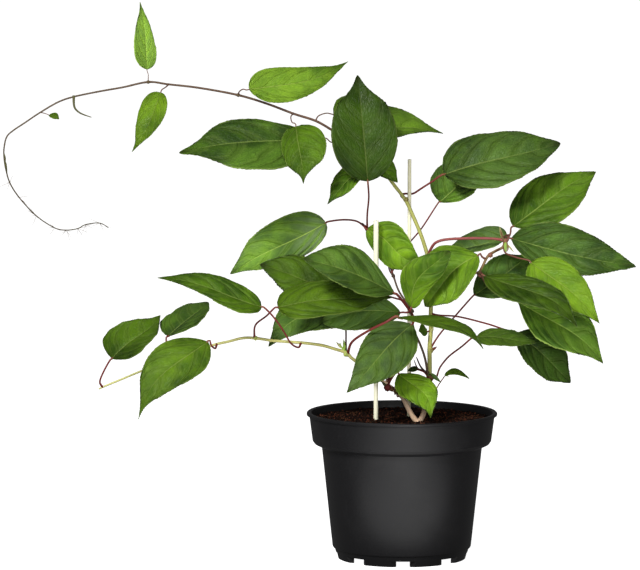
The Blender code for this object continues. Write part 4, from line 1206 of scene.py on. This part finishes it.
def blade_axes(leaf):
    """Along the blade, out of its upper face, and across it."""
    along = (Vector(leaf.tip) - Vector(leaf.base)).normalized()
    viewer = Vector((0, -1, 0))
    facing = (viewer - along * viewer.dot(along)).normalized()
    up = facing.cross(along)
    if up.dot(Vector((0.2, 0, 1))) < 0:
        up = -up
    turn = math.radians(leaf.turn)
    normal = facing * math.cos(turn) + up * math.sin(turn)
    return along, normal, normal.cross(along)


def outline(t, form):
    """Half width of an ovate blade with a drawn-out tip, as a share of its widest, at t along it."""
    drawn = min(1.0, max(0.0, (t - TIP_FROM) / TIP_LONG))
    body = math.sin(math.pi * min(1.0, t) ** (math.log(0.5) / math.log(form.peak)))
    return max(0.0, body) ** form.full * (1 - form.drip * drawn * drawn * (3 - 2 * drawn))


def column_place(share):
    """How far out a column of points lies: the columns crowd towards the midrib and the margin."""
    return 0.6 * share + 0.2 * (1 - math.cos(math.pi * share))


def row_place(phase, v):
    """How far along the blade a row has come at v across it, as the rows climb with the side veins."""
    start = phase * (1 + SLANT) - SLANT
    climb = SLANT * (STRAY * abs(v) + (1 - STRAY) * v ** 4)
    return min(1.0, max(0.0, start + climb * (1 - max(0.0, start)) ** 0.8)) ** CROWD


def tooth_at(leaf, size, row, t, v):
    """How far the margin stands out on an odd row, or goes back on an even one, in millimetres."""
    ragged = 0.75 + 0.9 * noise.noise(Vector((row * 0.7, leaf.width, math.copysign(3, v))))
    return size * ragged * abs(v) ** 10 * (1 if row % 2 else -TOOTH_BACK) * min(1.0, 12 * t * (1 - t))


def relief(phase, v, quilt):
    """Swelling of the blade between its veins, in millimetres."""
    line = abs((phase + (0.5 if v > 0 else 0.0)) % 1.0 - 0.5) * 2
    out = abs(v)
    between = (1 - line ** 2.2) * min(1.0, 4.2 * out * (1.04 - out))
    return quilt * between - 0.4 * math.exp(-((out / 0.05) ** 2))


def rise_at(leaf, quilt, length, wide, phase, t, v, aside):
    """How far the blade stands off its plane, in millimetres: arch, fold, waves and relief."""
    scale = min(1.0, leaf.width / FULL)
    rise = leaf.form.bow * length * math.sin(math.pi * t)
    rise += FOLD * abs(aside) - 0.35 * FOLD * aside * aside / (leaf.width / 2)
    rise += WAVE * leaf.width * v * v * math.sin(9 * t + 2.5 * v + leaf.width) * wide
    uneven = 1 + 0.9 * noise.noise(Vector((phase * 6, v * 1.5, leaf.width)))
    rise += scale * wide * uneven * relief(phase * VEINS, v, quilt)
    return rise + 0.3 * scale * abs(v) ** 3 * wide * math.sin(31 * t + 4 * v + leaf.width)


def make_leaf(leaf, under):
    """A blade: a grid whose rows follow the side veins, shaped, given teeth and relief, and thickened."""
    look = LOOKS.get(leaf.name, Look())
    small = leaf.width < SMALL
    rows = VEINS * (3 if small else ROWS_PER_VEIN)
    half = 4 if small else HALF_COLUMNS
    form = leaf.form
    along, normal, across = blade_axes(leaf)
    base = Vector(leaf.base)
    length = (Vector(leaf.tip) - base).length
    tooth_size = look.tooth * min(1.0, leaf.width / FULL)
    shape = bmesh.new()
    bmesh.ops.create_grid(shape, x_segments=rows, y_segments=2 * half, size=1)
    blade_map = shape.loops.layers.uv.new("blade")
    ribs = shape.verts.layers.deform.verify()
    own_map = {}
    for point in shape.verts:
        row = round((point.co.x + 1) / 2 * rows)
        column = round(point.co.y * half)
        v = math.copysign(column_place(abs(column) / half), column)
        phase = row / rows
        t = row_place(phase, v)
        own_map[point] = (phase, (v + 1) / 2)
        wide = outline(t, form)
        lean = 1 + (form.lean if v > 0 else -form.lean)
        tooth = tooth_at(leaf, tooth_size, row, t, v)
        aside = v * max(BASE_HALF * (1 - t), leaf.width / 2 * wide) * lean + math.copysign(tooth, v)
        rise = rise_at(leaf, look.quilt, length, wide, phase, t, v, aside)
        bend = length * (form.sweep * math.sin(math.pi * t) + form.curl * math.sin(2 * math.pi * t))
        place = base + along * (t * length + (0.5 * tooth if row % 2 else 0)) + normal * rise
        point.co = (place + across * (aside + bend)) * MM
        point[ribs][0] = THIN + (1 - THIN) * math.exp(-((v / 0.07) ** 2)) * (1 - 0.75 * t)
    for face in shape.faces:
        for loop in face.loops:
            loop[blade_map].uv = own_map[loop.vert]
    bmesh.ops.remove_doubles(shape, verts=shape.verts, dist=0.03 * MM)
    slot = "leaf_bright" if leaf.name in BRIGHT else "leaf"
    blade = piece(leaf.name + "_blade", shape, [leaf_finish(leaf, look), under], slot, leaf.name)
    blade.vertex_groups.new(name="ribs")
    sheet = blade.modifiers.new("thickness", "SOLIDIFY")
    sheet.thickness = BLADE_THICK
    sheet.offset = -1
    sheet.vertex_group = "ribs"
    sheet.material_offset = 1


# stage

def softbox(lamp):
    """A soft lamp that the camera doesn't see."""
    light = bpy.data.lights.new(lamp.name, "AREA")
    light.shape = "RECTANGLE"
    light.size = lamp.wide
    light.size_y = lamp.tall
    light.energy = lamp.power
    thing = bpy.data.objects.new(lamp.name, light)
    bpy.context.scene.collection.objects.link(thing)
    thing.location = lamp.place
    heading = Vector(lamp.target) - Vector(lamp.place)
    thing.rotation_euler = heading.to_track_quat("-Z", "Y").to_euler()
    thing.visible_camera = False


def set_floor():
    """A white floor that neither lights the plant nor shows in its gloss."""
    shape = bmesh.new()
    bmesh.ops.create_grid(shape, x_segments=1, y_segments=1, size=60)
    floor = plain("floor", shape)
    pale = Finish("pale_floor", Base_Color=(0.6, 0.6, 0.6), Roughness=0.9, Specular_IOR_Level=0.0)
    pale.feed("Emission Color", (1.0, 1.0, 1.0))
    pale.feed("Emission Strength", 1.0)
    floor.visible_diffuse = False
    floor.visible_glossy = False
    floor.data.materials.append(pale.material)


def set_stage():
    scene = bpy.context.scene
    set_floor()
    world = bpy.data.worlds.new("studio")
    world.use_nodes = True
    background = world.node_tree.nodes["Background"]
    background.inputs["Color"].default_value = (1, 1, 1, 1)
    background.inputs["Strength"].default_value = WORLD_LIGHT
    scene.world = world
    for lamp in LAMPS:
        softbox(lamp)
    lens = bpy.data.cameras.new("camera")
    lens.sensor_width = 36
    lens.lens = LENS
    lens.clip_end = 300
    camera = bpy.data.objects.new("camera", lens)
    camera.location = CAMERA
    camera.rotation_euler = (math.radians(90 - CAMERA_DOWN), 0, 0)
    scene.collection.objects.link(camera)
    scene.camera = camera
    scene.view_settings.view_transform = "Standard"


set_stage()
make_pot()
make_peat()
make_stick("stick_front", cane_finish("cream_cane", *CREAM_CANE))
make_stick("stick_rear", cane_finish("yellow_cane", *YELLOW_CANE))
for shoot in SHOOTS:
    gloss, rough_bark = (0.5, 1.0) if shoot.name == "woody_base" else (0.38, 0.3)
    make_shoot(shoot, stem_finish(shoot.name + "_skin", gloss, rough_bark))
unders = {False: under_finish("leaf_under_dark", 0.15), True: under_finish("leaf_under_bright", 0.8)}
for leaf in LEAVES:
    make_leaf(leaf, unders[leaf.tone > 0.5])
